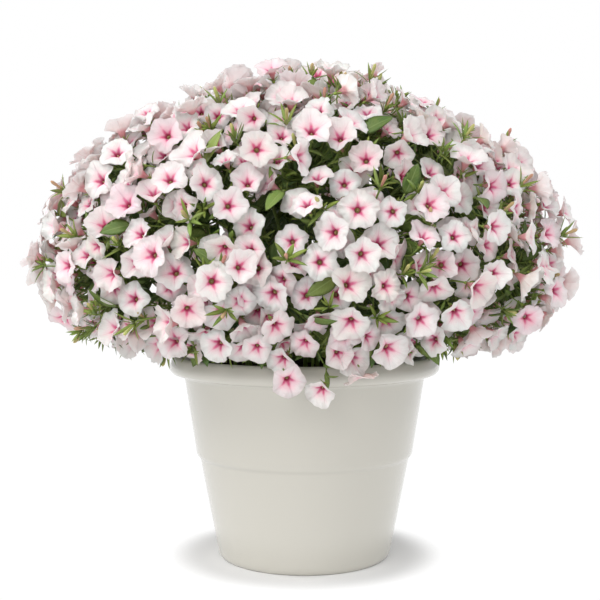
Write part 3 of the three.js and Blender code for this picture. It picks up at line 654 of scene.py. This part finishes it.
def grow_stalk(greens, bloom, shoot):
    """A bloom's green calyx, and its stalk to the knot, whose path is given back."""
    at, radius, facing, across, along = axes_of(bloom)
    foot = at + CALYX * radius * facing
    below = foot - 3.5 * MM * facing
    cup_path = [below, foot - 1.5 * MM * facing, foot + 1.5 * MM * facing]
    tube(greens, cup_path, [STALK_RADIUS, 2.3 * MM, 2.5 * MM], 5, GREEN_YOUNG)
    for turn in random.uniform(0, 2 * np.pi) + turns_round(LOBES):
        out = turned(across, along, turn)
        way = unit(facing * random.uniform(0.7, 1.3) + out * random.uniform(0.5, 1.0))
        length = SEPAL_LENGTH * random.uniform(0.85, 1.15)
        grow_leaf(greens, foot + 1.6 * MM * out, way, onto(facing - out, way), length, SEPAL_WIDTH,
                  GREEN_YOUNG, rows=2, droop=0.25)
    root = shoot["heart"] - 0.85 * KNOT_RADIUS * shoot["ahead"]
    reach = np.linalg.norm(below - root)
    leaving = root + 0.35 * reach * unit(shoot["ahead"] + 0.8 * bloom["way"])
    path = curve(root, leaving, below - 0.4 * reach * facing, below, 7)
    tube(greens, path, np.linspace(1.5, 1, 7) * STALK_RADIUS, 4, GREEN_STALK)
    return path


def bloom_tint():
    """From nearly white to pink, and a little creamier and darker with age."""
    pink = random.beta(0.9, 3.2)
    age = random.beta(1.0, 6.0)
    fresh = PETAL_WHITE * (1 - pink) + PETAL_PINK * pink
    return fresh * (1 - age * PETAL_FADING) * random.uniform(0.93, 1.02)


# Leaves

def grow_leaf(clay, base, out, up, length, width, tint, rows=5, droop=0.3, wave=0.0):
    """A thin closed blade, folded along its midrib and widest before its middle, that droops to its tip."""
    side = np.cross(out, up)
    edges = np.array([-1, -0.5, 0, 0.5, 1]) if width > 13 * MM else np.array([-1, 0, 1.0])
    shares = np.linspace(0, 1, rows + 2)[1:-1]
    steps = np.concatenate([[0], shares, [1]])
    angles = droop * steps * 1.6
    ahead = np.concatenate([[0], np.cumsum(np.diff(steps) * np.cos(angles[1:]))]) * length
    sink = np.concatenate([[0], np.cumsum(np.diff(steps) * np.sin(angles[1:]))]) * length
    half = 0.5 * width * np.sin(np.pi * steps**0.85) ** 0.8
    phase = random.uniform(0, 6)
    top, bottom, top_place, bottom_place = [], [], [], []
    for k in range(1, rows + 1):
        line = base + ahead[k] * out - sink[k] * up
        for e in edges:
            sway = wave * width * abs(e) * math.sin(9 * steps[k] + phase + 2 * e)
            point = line + e * half[k] * side + (0.28 * abs(e) * half[k] + sway) * up
            top.append(point)
            top_place.append((abs(e), steps[k], 0))
            bottom.append(point - LEAF_THICKNESS * (1 - e * e) * up)
            bottom_place.append((abs(e), steps[k], 1))
    points = np.array([*top, *bottom, base, base + ahead[-1] * out - sink[-1] * up])
    places = np.array([*top_place, *bottom_place, (0, 0, 0), (0, 1, 0)])
    n = len(edges)
    total = rows * n

    def under(i):
        """The point below a top point; at the blade's edges they are one."""
        return i if i % n in (0, n - 1) else i + total

    faces = []
    for k in range(rows - 1):
        for e in range(n - 1):
            a, b = k * n + e, (k + 1) * n + e
            faces.append((a, a + 1, b + 1, b))
            faces.append((under(b), under(b + 1), under(a + 1), under(a)))
    for e in range(n - 1):
        last = total - n + e
        faces.append((2 * total, e + 1, e))
        faces.append((2 * total, under(e), under(e + 1)))
        faces.append((2 * total + 1, last, last + 1))
        faces.append((2 * total + 1, under(last + 1), under(last)))
    used = sorted({i for face in faces for i in face})
    index = {old: new for new, old in enumerate(used)}
    clay.add(points[used], [tuple(index[i] for i in face) for face in faces], places[used], tint)


def leaf_tint(age):
    """From the bright green of a shoot's tip to the dark green of an old leaf."""
    mixed = GREEN_YOUNG * (1 - age) + GREEN_OLD * age
    bright = random.uniform(0.8, 1.2)
    return mixed * bright * np.array([random.uniform(0.85, 1.15), 1, random.uniform(0.8, 1.2)])


def bud_tint():
    """From yellow-green to brownish rose."""
    ripe = random.random()
    return BUD_GREEN * (1 - ripe) + BUD_ROSE * ripe


def grow_bud(clay, greens, base, tip, side):
    """A furled bud in a green calyx: a spindle that is thickest near its tip."""
    way = tip - base
    length = np.linalg.norm(way)
    way = way / length
    shares = np.array([0, 0.12, 0.3, 0.5, 0.7, 0.86, 0.97, 1.0])
    radii = np.array([0.8, 1.4, 1.7, 1.9, 2.4, 2.5, 1.3, 0.4]) * MM
    path = [base + share * length * way for share in shares]
    tube(clay, path, radii, 8, bud_tint(), place=(0, 1, 2))
    tube(greens, [base - 2 * MM * way, base + 3 * MM * way], [1.0 * MM, 2.2 * MM], 6, GREEN_YOUNG)
    across = onto(side, way)
    along = np.cross(way, across)
    for turn in turns_round(LOBES):
        out = turned(across, along, turn)
        lean = unit(way + random.uniform(0.2, 0.6) * out)
        grow_leaf(greens, base + 1.5 * MM * out, lean, onto(-out, lean), SEPAL_LENGTH, SEPAL_WIDTH,
                  GREEN_YOUNG, rows=3, droop=0.15)


# Shoots

def grow_solid_greens(shoot, clay, greens):
    """The stem, twigs, leaves and buds where the solid has them."""
    heart, ahead, foot = shoot["heart"], shoot["ahead"], shoot["foot"]
    outward = unit(heart - SHOOT_MIDDLE)
    end = heart - 0.8 * KNOT_RADIUS * ahead
    start = foot + 34 * MM * UP
    reach = np.linalg.norm(end - start)
    path = curve(start, start + 0.45 * reach * UP, end - 0.45 * reach * ahead, end, 10)
    path = np.vstack([foot, path])
    shoot["stem"] = path
    tube(greens, path, np.linspace(STEM_RADIUS, 2.2 * MM, len(path)), 8, GREEN_STALK)
    for twig in shoot["twigs"]:
        path = curve(twig[0] - 3 * MM * unit(twig[1] - twig[0]), twig[1], twig[1], twig[2], 7)
        path = np.vstack([path, *twig[3:]])
        tube(greens, path, np.linspace(1.15, 0.85, len(path)) * TWIG_RADIUS, 6, GREEN_STALK)
    for leaf in shoot["leaves"]:
        way = leaf["tip"] - leaf["base"]
        length = np.linalg.norm(way)
        out = way / length
        up = unit(np.cross(leaf["side"], out))
        if up @ outward < 0:
            up = -up
        if leaf["width"] > BROAD_LEAF:
            tint = leaf_tint(random.uniform(0.4, 1.0))
            grow_leaf(greens, leaf["base"] - MM * out, out, up, length * 1.02, leaf["width"] * 0.9,
                      tint, rows=6, droop=0.25, wave=0.03)
            continue
        age = random.uniform(0, 0.3)
        out = unit(out + 0.45 * unit(leaf["base"] - heart) + random.normal(0, 0.12, 3))
        length = length * random.uniform(0.8, 1.05)
        width = leaf["width"] * random.uniform(0.4, 0.6)
        grow_leaf(greens, leaf["base"] - MM * out, out, onto(up, out), length, width,
                  leaf_tint(age), rows=4, droop=random.uniform(-0.1, 0.4))
    for bud in shoot["buds"]:
        grow_bud(clay, greens, bud["base"], bud["tip"], np.array([1.0, 0.2, 0.1]))


def try_leaf(greens, room, base, out, up, length, width, age, **shape):
    """A leaf, if its middle and tip are clear of petals and planter."""
    tips = [base + share * length * out for share in (0.4, 0.7, 1.0)]
    if not clears_pot(tips) or not room.is_free(tips, LEAF_ROOM):
        return False
    grow_leaf(greens, base, out, up, length, width, leaf_tint(age), **shape)
    return True


def grow_stalk_leaves(greens, paths, room):
    """Leaves by turns along each flower stalk, broader and darker towards its foot."""
    for path in paths:
        turn = random.uniform(0, 2 * np.pi)
        places = (0.3, 0.45, 0.58, 0.68, 0.77, 0.85, 0.92)
        for share in random.choice(places, STALK_LEAVES, replace=False):
            here, ahead = spot_on(path, share)
            turn += LEAF_TURN + random.uniform(-0.4, 0.4)
            aside = turned(*square_to(ahead), turn)
            out = unit(ahead * random.uniform(0.5, 1.4) + aside)
            length = (40 - 20 * share) * MM * random.uniform(0.75, 1.25)
            width = length * random.uniform(0.8, 1.1) * (0.42 - 0.16 * share)
            try_leaf(greens, room, here, out, onto(ahead, out), length, width, 1.25 - share,
                     rows=4 if share < 0.7 else 3, droop=random.uniform(0.1, 0.5), wave=0.015)


def grow_inner_leaves(shoot, greens, room):
    """Broad dark leaves on their own stalks round the knot and the head of the stem, and down the stem."""
    heart, ahead = shoot["heart"], shoot["ahead"]
    turn = random.uniform(0, 2 * np.pi)
    for _ in range(INNER_LEAVES):
        turn += LEAF_TURN
        aside = turned(*square_to(ahead), turn)
        root = heart - random.uniform(-0.3, 1.2) * KNOT_RADIUS * ahead
        way = unit(ahead * random.uniform(-0.35, 1.0) + aside)
        base = root + random.uniform(14, 46) * MM * way
        out = unit(way + 0.5 * ahead * random.uniform(-1, 1) + 0.4 * random.normal(size=3))
        length = random.uniform(34, 54) * MM
        up = onto(ahead + 0.3 * random.normal(size=3), out)
        if not clears_pot([base]):
            continue
        width = length * random.uniform(0.40, 0.52)
        if try_leaf(greens, room, base - MM * out, out, up, length, width, random.uniform(0.7, 1.1),
                    rows=4, droop=random.uniform(0.1, 0.6), wave=0.02):
            path = curve(root, root + 0.4 * (base - root), base - 6 * MM * out, base, 4)
            tube(greens, path, [1.2 * MM] * 4, 4, GREEN_STALK)
    # down the stem
    for share in np.linspace(0.25, 0.95, STEM_LEAVES):
        here, ahead = spot_on(shoot["stem"], share)
        turn += LEAF_TURN
        aside = turned(*square_to(ahead), turn)
        out = unit(aside + random.uniform(0.1, 0.8) * ahead)
        length = random.uniform(42, 62) * MM
        width = length * random.uniform(0.4, 0.5)
        try_leaf(greens, room, here, out, onto(ahead, out), length, width, random.uniform(0.8, 1.2),
                 rows=5, droop=random.uniform(0.2, 0.7), wave=0.02)


def grow_tip(clay, greens, base, way, room, leaves, age, with_bud):
    """The tip of a leafy shoot: narrow leaves round it, smaller and steeper towards the end."""
    turn = random.uniform(0, 2 * np.pi)
    for k in range(leaves):
        share = k / leaves
        turn += LEAF_TURN + random.uniform(-0.25, 0.25)
        aside = turned(*square_to(way), turn)
        out = unit(aside + way * (0.7 + 2.0 * share + random.uniform(-0.2, 0.2)))
        length = (29 - 14 * share) * MM * random.uniform(0.85, 1.2)
        width = length * random.uniform(0.14, 0.22)
        root = base + (9 * share - 5) * MM * way
        try_leaf(greens, room, root, out, onto(way, out), length, width, age * (1 - 0.7 * share),
                 rows=4, droop=random.uniform(-0.1, 0.35))
    if with_bud:
        foot = base + 2 * MM * way
        tip = foot + random.uniform(18, 27) * MM * unit(way + 0.35 * UP)
        grow_bud(clay, greens, foot, tip, aside)


def add_tips(shoots, room):
    """Find places for leafy tips that come up in gaps between the blooms."""
    dome = Dome(shoots)
    for _ in range(TIP_TRIES):
        if sum(len(shoot["tips"]) for shoot in shoots) == TIP_LIMIT:
            break
        shoot, at, normal = dome.spot()
        at = at - random.uniform(-6, 16) * MM * normal
        if at[2] < LOWEST_BLOOM:
            continue
        way = unit(normal + random.normal(0, 0.25, 3) + 0.25 * UP)
        stalk = [at + share * (shoot["heart"] - at) for share in (0.08, 0.2, 0.35, 0.5)]
        reach = [at, at + 9 * MM * way, at + 16 * MM * way]
        if unit(at - shoot["heart"]) @ shoot["ahead"] < 0 or not clears_pot(stalk + reach[1:]):
            continue
        if not room.is_free(reach, TIP_ROOM) or not room.is_free(stalk, STALK_ROOM):
            continue
        room.take(reach)
        shoot["tips"].append((at, way))


def grow_added_tips(shoot, clay, greens, room):
    for at, way in shoot["tips"]:
        root = shoot["heart"] - 0.5 * KNOT_RADIUS * shoot["ahead"]
        reach = np.linalg.norm(at - root)
        leaving = root + 0.35 * reach * unit(at - root + 0.4 * reach * shoot["ahead"])
        path = curve(root, leaving, at - 0.35 * reach * way, at, 7)
        tube(greens, path, np.linspace(1.1, 0.7, 7) * TWIG_RADIUS, 5, GREEN_STALK)
        leaves = int(random.integers(7, 11))
        age = random.uniform(0.1, 0.5)
        grow_tip(clay, greens, at, way, room, leaves, age, random.random() < 0.45)


def grow_skirt(shoots, clays, room):
    """Short leafy shoots that rise just inside the rim and lean out over it."""
    for k in range(SKIRT_SHOOTS):
        turn = 2 * np.pi * (k + random.uniform(-0.3, 0.3)) / SKIRT_SHOOTS
        level = np.array([math.cos(turn), math.sin(turn), 0])
        root = level * 150 * MM + UP * 276 * MM
        end = level * random.uniform(226, 268) * MM + UP * random.uniform(320, 350) * MM
        end = end + np.cross(UP, level) * random.uniform(-25, 25) * MM
        over_rim = level * 212 * MM + UP * 346 * MM
        path = curve(root, root + 62 * MM * UP + 12 * MM * level, over_rim, end, 12)
        if not room.is_free(path[4:], STALK_ROOM):
            continue
        # it belongs to the shoot that grows most nearly the same way
        way = unit(end - SHOOT_MIDDLE)
        likeness = [unit(shoot["heart"] - SHOOT_MIDDLE) @ way for shoot in shoots]
        clay, greens = clays[np.argmax(likeness)]
        tube(greens, path, np.linspace(1.6, 0.8, 12) * TWIG_RADIUS, 6, GREEN_STALK)
        turn = random.uniform(0, 2 * np.pi)
        for share in np.linspace(0.3, 0.95, SKIRT_LEAVES):
            here, ahead = spot_on(path, share)
            turn += LEAF_TURN
            out = unit(turned(*square_to(ahead), turn) + random.uniform(0.3, 1.0) * ahead)
            length = (46 - 18 * share) * MM * random.uniform(0.8, 1.2)
            width = length * random.uniform(0.3, 0.42)
            try_leaf(greens, room, here, out, onto(ahead + 0.3 * UP, out), length, width,
                     random.uniform(0.4, 1.0), rows=5, droop=random.uniform(0.2, 0.6), wave=0.02)
        grow_tip(clay, greens, path[-1], unit(path[-1] - path[-2]), room, 7, 0.3, False)


# Materials

class Nodes:
    """A short way to write a material's nodes."""

    def __init__(self, name):
        self.material = bpy.data.materials.new(name)
        self.material.use_nodes = True
        self.tree = self.material.node_tree
        self.where = self.new("ShaderNodeTexCoord").outputs["Object"]

    def new(self, kind, inputs=None, **settings):
        node = self.tree.nodes.new(kind)
        for key, value in settings.items():
            setattr(node, key, value)
        for key, value in (inputs or {}).items():
            self.put(node.inputs[key], value)
        return node

    def put(self, socket, value):
        if isinstance(value, bpy.types.NodeSocket):
            self.tree.links.new(value, socket)
        else:
            socket.default_value = value

    def math(self, operation, a, b=0.0):
        return self.new("ShaderNodeMath", {0: a, 1: b}, operation=operation).outputs[0]

    def plus(self, a, b):
        return self.math("ADD", a, b)

    def times(self, a, b):
        return self.math("MULTIPLY", a, b)

    def above(self, a, limit):
        return self.math("GREATER_THAN", a, limit)

    def rise(self, value, low, high, to_low=0.0, to_high=1.0):
        """A smooth step from to_low to to_high, as the value goes from low to high."""
        inputs = {"Value": value, "From Min": low, "From Max": high, "To Min": to_low, "To Max": to_high}
        return self.new("ShaderNodeMapRange", inputs, interpolation_type="SMOOTHSTEP").outputs[0]

    def fall(self, value, low, high):
        """The same from 1 to 0."""
        return self.rise(value, low, high, 1.0, 0.0)

    def mix(self, share, a, b, blend="MIX"):
        inputs = {0: share, 6: a, 7: b}
        return self.new("ShaderNodeMix", inputs, data_type="RGBA", blend_type=blend).outputs[2]

    def cover(self, colour, *coats):
        """A colour with coats over it, each a share and a colour."""
        for share, coat in coats:
            colour = self.mix(share, colour, coat)
        return colour

    def noise(self, scale, detail):
        inputs = {"Scale": scale, "Detail": detail, "Vector": self.where}
        return self.new("ShaderNodeTexNoise", inputs).outputs["Fac"]

    def attribute(self, name):
        return self.new("ShaderNodeAttribute", attribute_name=name).outputs["Vector"]

    def parts(self, vector):
        return self.new("ShaderNodeSeparateXYZ", {"Vector": vector}).outputs

    def bump(self, height, strength, distance):
        inputs = {"Height": height, "Strength": strength, "Distance": distance}
        return self.new("ShaderNodeBump", inputs).outputs[0]

    def shade(self, inputs):
        """Set the shader's inputs, and give the material."""
        shader = self.tree.nodes["Principled BSDF"]
        for key, value in inputs.items():
            self.put(shader.inputs[key], value)
        return self.material


def rgb(r, g, b):
    return (r, g, b, 1.0)


def petal_material():
    """Place on a petal: across a lobe, along from the throat to the rim, and 0 front, 1 back or 2 bud."""
    n = Nodes("petal")
    lobe, along, back = n.parts(n.attribute("place"))
    tint = n.attribute("tint")
    grain = n.noise(260, 3)
    jitter = n.times(n.math("SUBTRACT", grain, 0.5), 0.10)
    # veins fan out from the middle of each lobe
    bent = n.plus(lobe, jitter)
    spread = n.math("DIVIDE", bent, n.plus(along, 0.15))
    comb = n.math("ABSOLUTE", n.math("SINE", n.times(spread, 7.5)))
    rib = n.fall(bent, 0.0, 0.10)
    veins = n.math("MAXIMUM", rib, n.times(n.fall(comb, 0.0, 0.35), 0.5))
    # the star of the throat reaches further along the ribs
    ray = n.times(n.fall(lobe, 0.0, 0.9), 0.20)
    reach = n.math("SUBTRACT", n.plus(along, jitter), ray)
    # pink flush, veins, star, the throat's depth, darker partly by its own colour and partly by painted
    # shade, and its greenish floor
    limb = n.cover(
        tint,
        (n.times(n.fall(reach, 0.16, 0.72), 0.42), rgb(0.90, 0.40, 0.52)),
        (n.times(n.times(veins, n.fall(along, 0.35, 0.95)), 0.48), rgb(0.72, 0.24, 0.38)),
        (n.times(n.fall(reach, 0.08, 0.34), 0.88), rgb(0.66, 0.085, 0.235)),
        # deep in the tube: partly the throat's own dark crimson, partly painted shade of the tube's depth
        (n.fall(along, 0.02, 0.24), rgb(0.24, 0.012, 0.045)),
        (n.fall(along, -0.02, 0.05), rgb(0.35, 0.36, 0.12)),
    )
    # the back is duller, with a dusky rose tube that is greenish at its foot
    behind = n.cover(
        tint,
        (0.12, rgb(0.86, 0.60, 0.60)),
        (n.times(rib, 0.30), rgb(0.55, 0.26, 0.26)),
        (n.times(n.fall(along, 0.15, 0.45), 0.8), rgb(0.50, 0.15, 0.17)),
        (n.times(n.fall(along, -0.35, 0.10), 0.8), rgb(0.30, 0.20, 0.09)),
    )
    colour = n.cover(limb, (n.above(back, 0.5), behind), (n.above(back, 1.5), tint))
    cells = n.mix(n.noise(900, 2), rgb(0.5, 0.5, 0.5), rgb(1, 1, 1))
    return n.shade({
        "Base Color": n.mix(0.10, colour, cells, "MULTIPLY"),
        "Roughness": 0.62,
        "Specular IOR Level": 0.25,
        "Subsurface Weight": 0.6,
        "Subsurface Radius": (0.004, 0.003, 0.003),
        "Subsurface Scale": 1.0,
        "Normal": n.bump(n.plus(n.times(veins, -0.7), n.times(grain, 0.5)), 0.5, 0.0012),
    })


def stigma_material():
    n = Nodes("stigma")
    grain = n.noise(1500, 2)
    return n.shade({
        "Base Color": n.mix(grain, rgb(0.32, 0.30, 0.12), rgb(0.60, 0.58, 0.32)),
        "Roughness": 0.7,
        "Normal": n.bump(grain, 0.4, 0.0004),
    })


def foliage_material():
    """Place on a leaf: out from its midrib, along from its foot to its tip, and 0 above or 1 below."""
    n = Nodes("foliage")
    across, along, back = n.parts(n.attribute("place"))
    grain = n.noise(700, 2)
    on_blade = n.above(along, 0.01)
    rib = n.times(n.fall(across, 0.0, 0.12), on_blade)
    slant = n.math("SUBTRACT", n.times(along, 30.0), n.times(across, 9.0))
    side_veins = n.fall(n.math("ABSOLUTE", n.math("SINE", slant)), 0.0, 0.3)
    veins = n.math("MAXIMUM", rib, n.times(side_veins, n.times(0.4, on_blade)))
    # patches, veins, and a duller underside
    colour = n.cover(
        n.attribute("tint"),
        (n.rise(n.noise(90, 3), 0.3, 0.75, 0.0, 0.35), rgb(0.20, 0.24, 0.05)),
        (n.times(veins, 0.35), rgb(0.30, 0.38, 0.14)),
        (n.times(n.above(back, 0.5), 0.35), rgb(0.16, 0.22, 0.09)),
    )
    return n.shade({
        "Base Color": colour,
        "Roughness": n.rise(grain, 0.3, 0.7, 0.42, 0.62),
        "Specular IOR Level": 0.4,
        "Normal": n.bump(n.plus(n.times(veins, -0.7), n.times(grain, 0.3)), 0.5, 0.0008),
    })


def pot_material():
    n = Nodes("pot_resin")
    clouds = n.noise(1.6, 1)
    cream = n.mix(clouds, rgb(0.545, 0.527, 0.470), rgb(0.565, 0.547, 0.490))
    specks = n.rise(n.noise(420, 2), 0.66, 0.74, 0.0, 0.06)
    return n.shade({
        "Base Color": n.mix(specks, cream, rgb(0.42, 0.38, 0.31)),
        "Roughness": n.rise(clouds, 0.3, 0.7, 0.20, 0.24),
        "Coat Weight": 0.5,
        "Coat Roughness": 0.05,
    })


def soil_material():
    n = Nodes("potting_mix")
    lumps = n.noise(160, 6)
    specks = n.new("ShaderNodeTexVoronoi", {"Scale": 240.0, "Vector": n.where}).outputs["Distance"]
    perlite = n.times(n.fall(specks, 0.10, 0.16), n.rise(lumps, 0.52, 0.6))
    brown = n.mix(n.rise(lumps, 0.35, 0.7), rgb(0.012, 0.008, 0.005), rgb(0.065, 0.042, 0.026))
    return n.shade({
        "Base Color": n.mix(perlite, brown, rgb(0.55, 0.52, 0.46)),
        "Roughness": 0.95,
        "Normal": n.bump(lumps, 0.9, 0.004),
    })


def glowing_floor_material():
    """White: away from the planter the floor glows, painted light; towards it the glow fades into a grey
    floor that takes rendered shadows, painted shade round the planter.
    """
    n = Nodes("floor")
    out = n.new("ShaderNodeVectorMath", {0: n.where}, operation="LENGTH").outputs["Value"]
    # painted glow: 0 by the planter, a grey floor in rendered shadow, to 1 far off, a glowing white floor;
    # the fade between is painted shade
    painted_glow = n.rise(out, *PAINTED_SHADE_REACH)
    return n.shade({
        "Base Color": n.mix(painted_glow, rgb(0.75, 0.75, 0.75), rgb(0, 0, 0)),
        "Roughness": 0.9,
        "Specular IOR Level": 0.0,
        # the glow is painted light, dimmed towards the planter as painted shade
        "Emission Color": rgb(1, 1, 1),
        "Emission Strength": n.rise(painted_glow, 0.0, 1.0, 0.04, 1.02),
    })


# Planter and soil

def lathe(profile, sides):
    """A turned shape, from radii and heights in mm."""
    clay = Clay()
    turns = turns_round(sides)
    rings = []
    for out, height in profile[1:-1]:
        rings.append(np.column_stack([out * np.cos(turns), out * np.sin(turns), np.full(sides, height)]) * MM)
    ends = [(0, 0, profile[0][1] * MM), (0, 0, profile[-1][1] * MM)]
    clay.add(np.vstack([*rings, ends]), capped_faces(len(rings), sides), (0, 0, 0), (1, 1, 1))
    return clay


def build_pot():
    made = lathe(POT_PROFILE, POT_SIDES).piece("planter", [pot_material()], "pot", "pot_resin")
    bevel = made.modifiers.new("soft corners", "BEVEL")
    bevel.width = 0.8 * MM
    bevel.segments = 2
    bevel.limit_method = "ANGLE"
    bevel.angle_limit = math.radians(40)


def build_soil():
    """The soil's top, crumbly and a little heaped, over a plain underside."""
    rings = [(SOIL_EDGE * k / SOIL_RINGS, SOIL_HEIGHT) for k in range(SOIL_RINGS, -1, -1)]
    clay = lathe(SOIL_PROFILE + rings, SOIL_SIDES)
    points = clay.points[0]
    x, y = points[:, 0], points[:, 1]
    is_top = points[:, 2] > (SOIL_HEIGHT - 6) * MM
    # lumps: height in mm, radians to a metre, two phases
    lumps = 0
    for high, often, p, q in ((1.6, 60, 1, 2), (1.2, 140, 3, 1), (0.8, 290, 5, 4), (0.6, 610, 2, 6)):
        lumps = lumps + high * np.sin(x * often + p) * np.cos(y * often * 1.1 + q)
    inner = np.clip(1 - np.hypot(x, y) / 0.19, 0, 1)
    points[:, 2] += is_top * (lumps + 7 * inner + random.normal(0, 0.5, len(points))) * MM
    clay.piece("soil", [soil_material()], "potting_soil", "potting_mix")


def build_plant():
    shoots = read_shoots()
    room = room_between(shoots)
    add_blooms(shoots, room)
    limbs = room_between(shoots)
    add_tips(shoots, room)
    clays = [(Clay(), Clay()) for _ in shoots]
    for shoot, (clay, greens) in zip(shoots, clays):
        paths = []
        for bloom in shoot["blooms"]:
            bloom["tint"] = bloom_tint()
            grow_bloom(clay, bloom)
            paths.append(grow_stalk(greens, bloom, shoot))
        grow_solid_greens(shoot, clay, greens)
        grow_stalk_leaves(greens, paths, limbs)
        grow_inner_leaves(shoot, greens, limbs)
        grow_added_tips(shoot, clay, greens, limbs)
    grow_skirt(shoots, clays, limbs)
    petals, stigma, foliage = petal_material(), stigma_material(), foliage_material()
    for shoot, (clay, greens) in zip(shoots, clays):
        clay.piece("petals_" + shoot["number"], [petals, stigma], "blooms_" + shoot["number"], "petals")
        greens.piece("greens_" + shoot["number"], [foliage], "leafy_shoot_" + shoot["number"], "foliage")


# Stage

def area_light(name, at, aim, size, power, colour):
    light = bpy.data.lights.new(name, "AREA")
    light.shape = "RECTANGLE"
    light.size, light.size_y = size
    light.energy = power
    light.color = colour
    lamp = bpy.data.objects.new(name, light)
    lamp.location = at
    lamp.rotation_mode = "QUATERNION"
    lamp.rotation_quaternion = (Vector(aim) - Vector(at)).to_track_quat("-Z", "Y")
    bpy.context.scene.collection.objects.link(lamp)


def build_world():
    """White all round, and dimmer as a light than as a backdrop."""
    world = bpy.data.worlds.new("studio")
    world.use_nodes = True
    tree = world.node_tree
    backdrop = tree.nodes["Background"]
    backdrop.inputs["Color"].default_value = rgb(1, 1, 1)
    backdrop.inputs["Strength"].default_value = 1.0
    ambient = tree.nodes.new("ShaderNodeBackground")
    ambient.inputs["Color"].default_value = rgb(0.97, 0.985, 1.0)
    ambient.inputs["Strength"].default_value = AMBIENT
    path = tree.nodes.new("ShaderNodeLightPath")
    mix = tree.nodes.new("ShaderNodeMixShader")
    tree.links.new(path.outputs["Is Camera Ray"], mix.inputs[0])
    tree.links.new(ambient.outputs[0], mix.inputs[1])
    tree.links.new(backdrop.outputs[0], mix.inputs[2])
    tree.links.new(mix.outputs[0], tree.nodes["World Output"].inputs["Surface"])
    bpy.context.scene.world = world


def build_stage():
    scene = bpy.context.scene
    bpy.ops.mesh.primitive_plane_add(size=FLOOR_SIZE, location=(0, 0, 0))
    floor = bpy.context.object
    floor.name = "floor"
    floor.data.materials.append(glowing_floor_material())
    build_world()
    for light in LIGHTS:
        area_light(*light)
    camera = bpy.data.cameras.new("camera")
    camera.lens = LENS
    camera.sensor_width = SENSOR
    eye = bpy.data.objects.new("camera", camera)
    eye.location = (0, -CAMERA_DISTANCE, CAMERA_HEIGHT)
    eye.rotation_euler = (math.radians(90) - CAMERA_PITCH, 0, CAMERA_YAW)
    scene.collection.objects.link(eye)
    scene.camera = eye
    scene.view_settings.view_transform = "Standard"


build_pot()
build_soil()
build_plant()
build_stage()
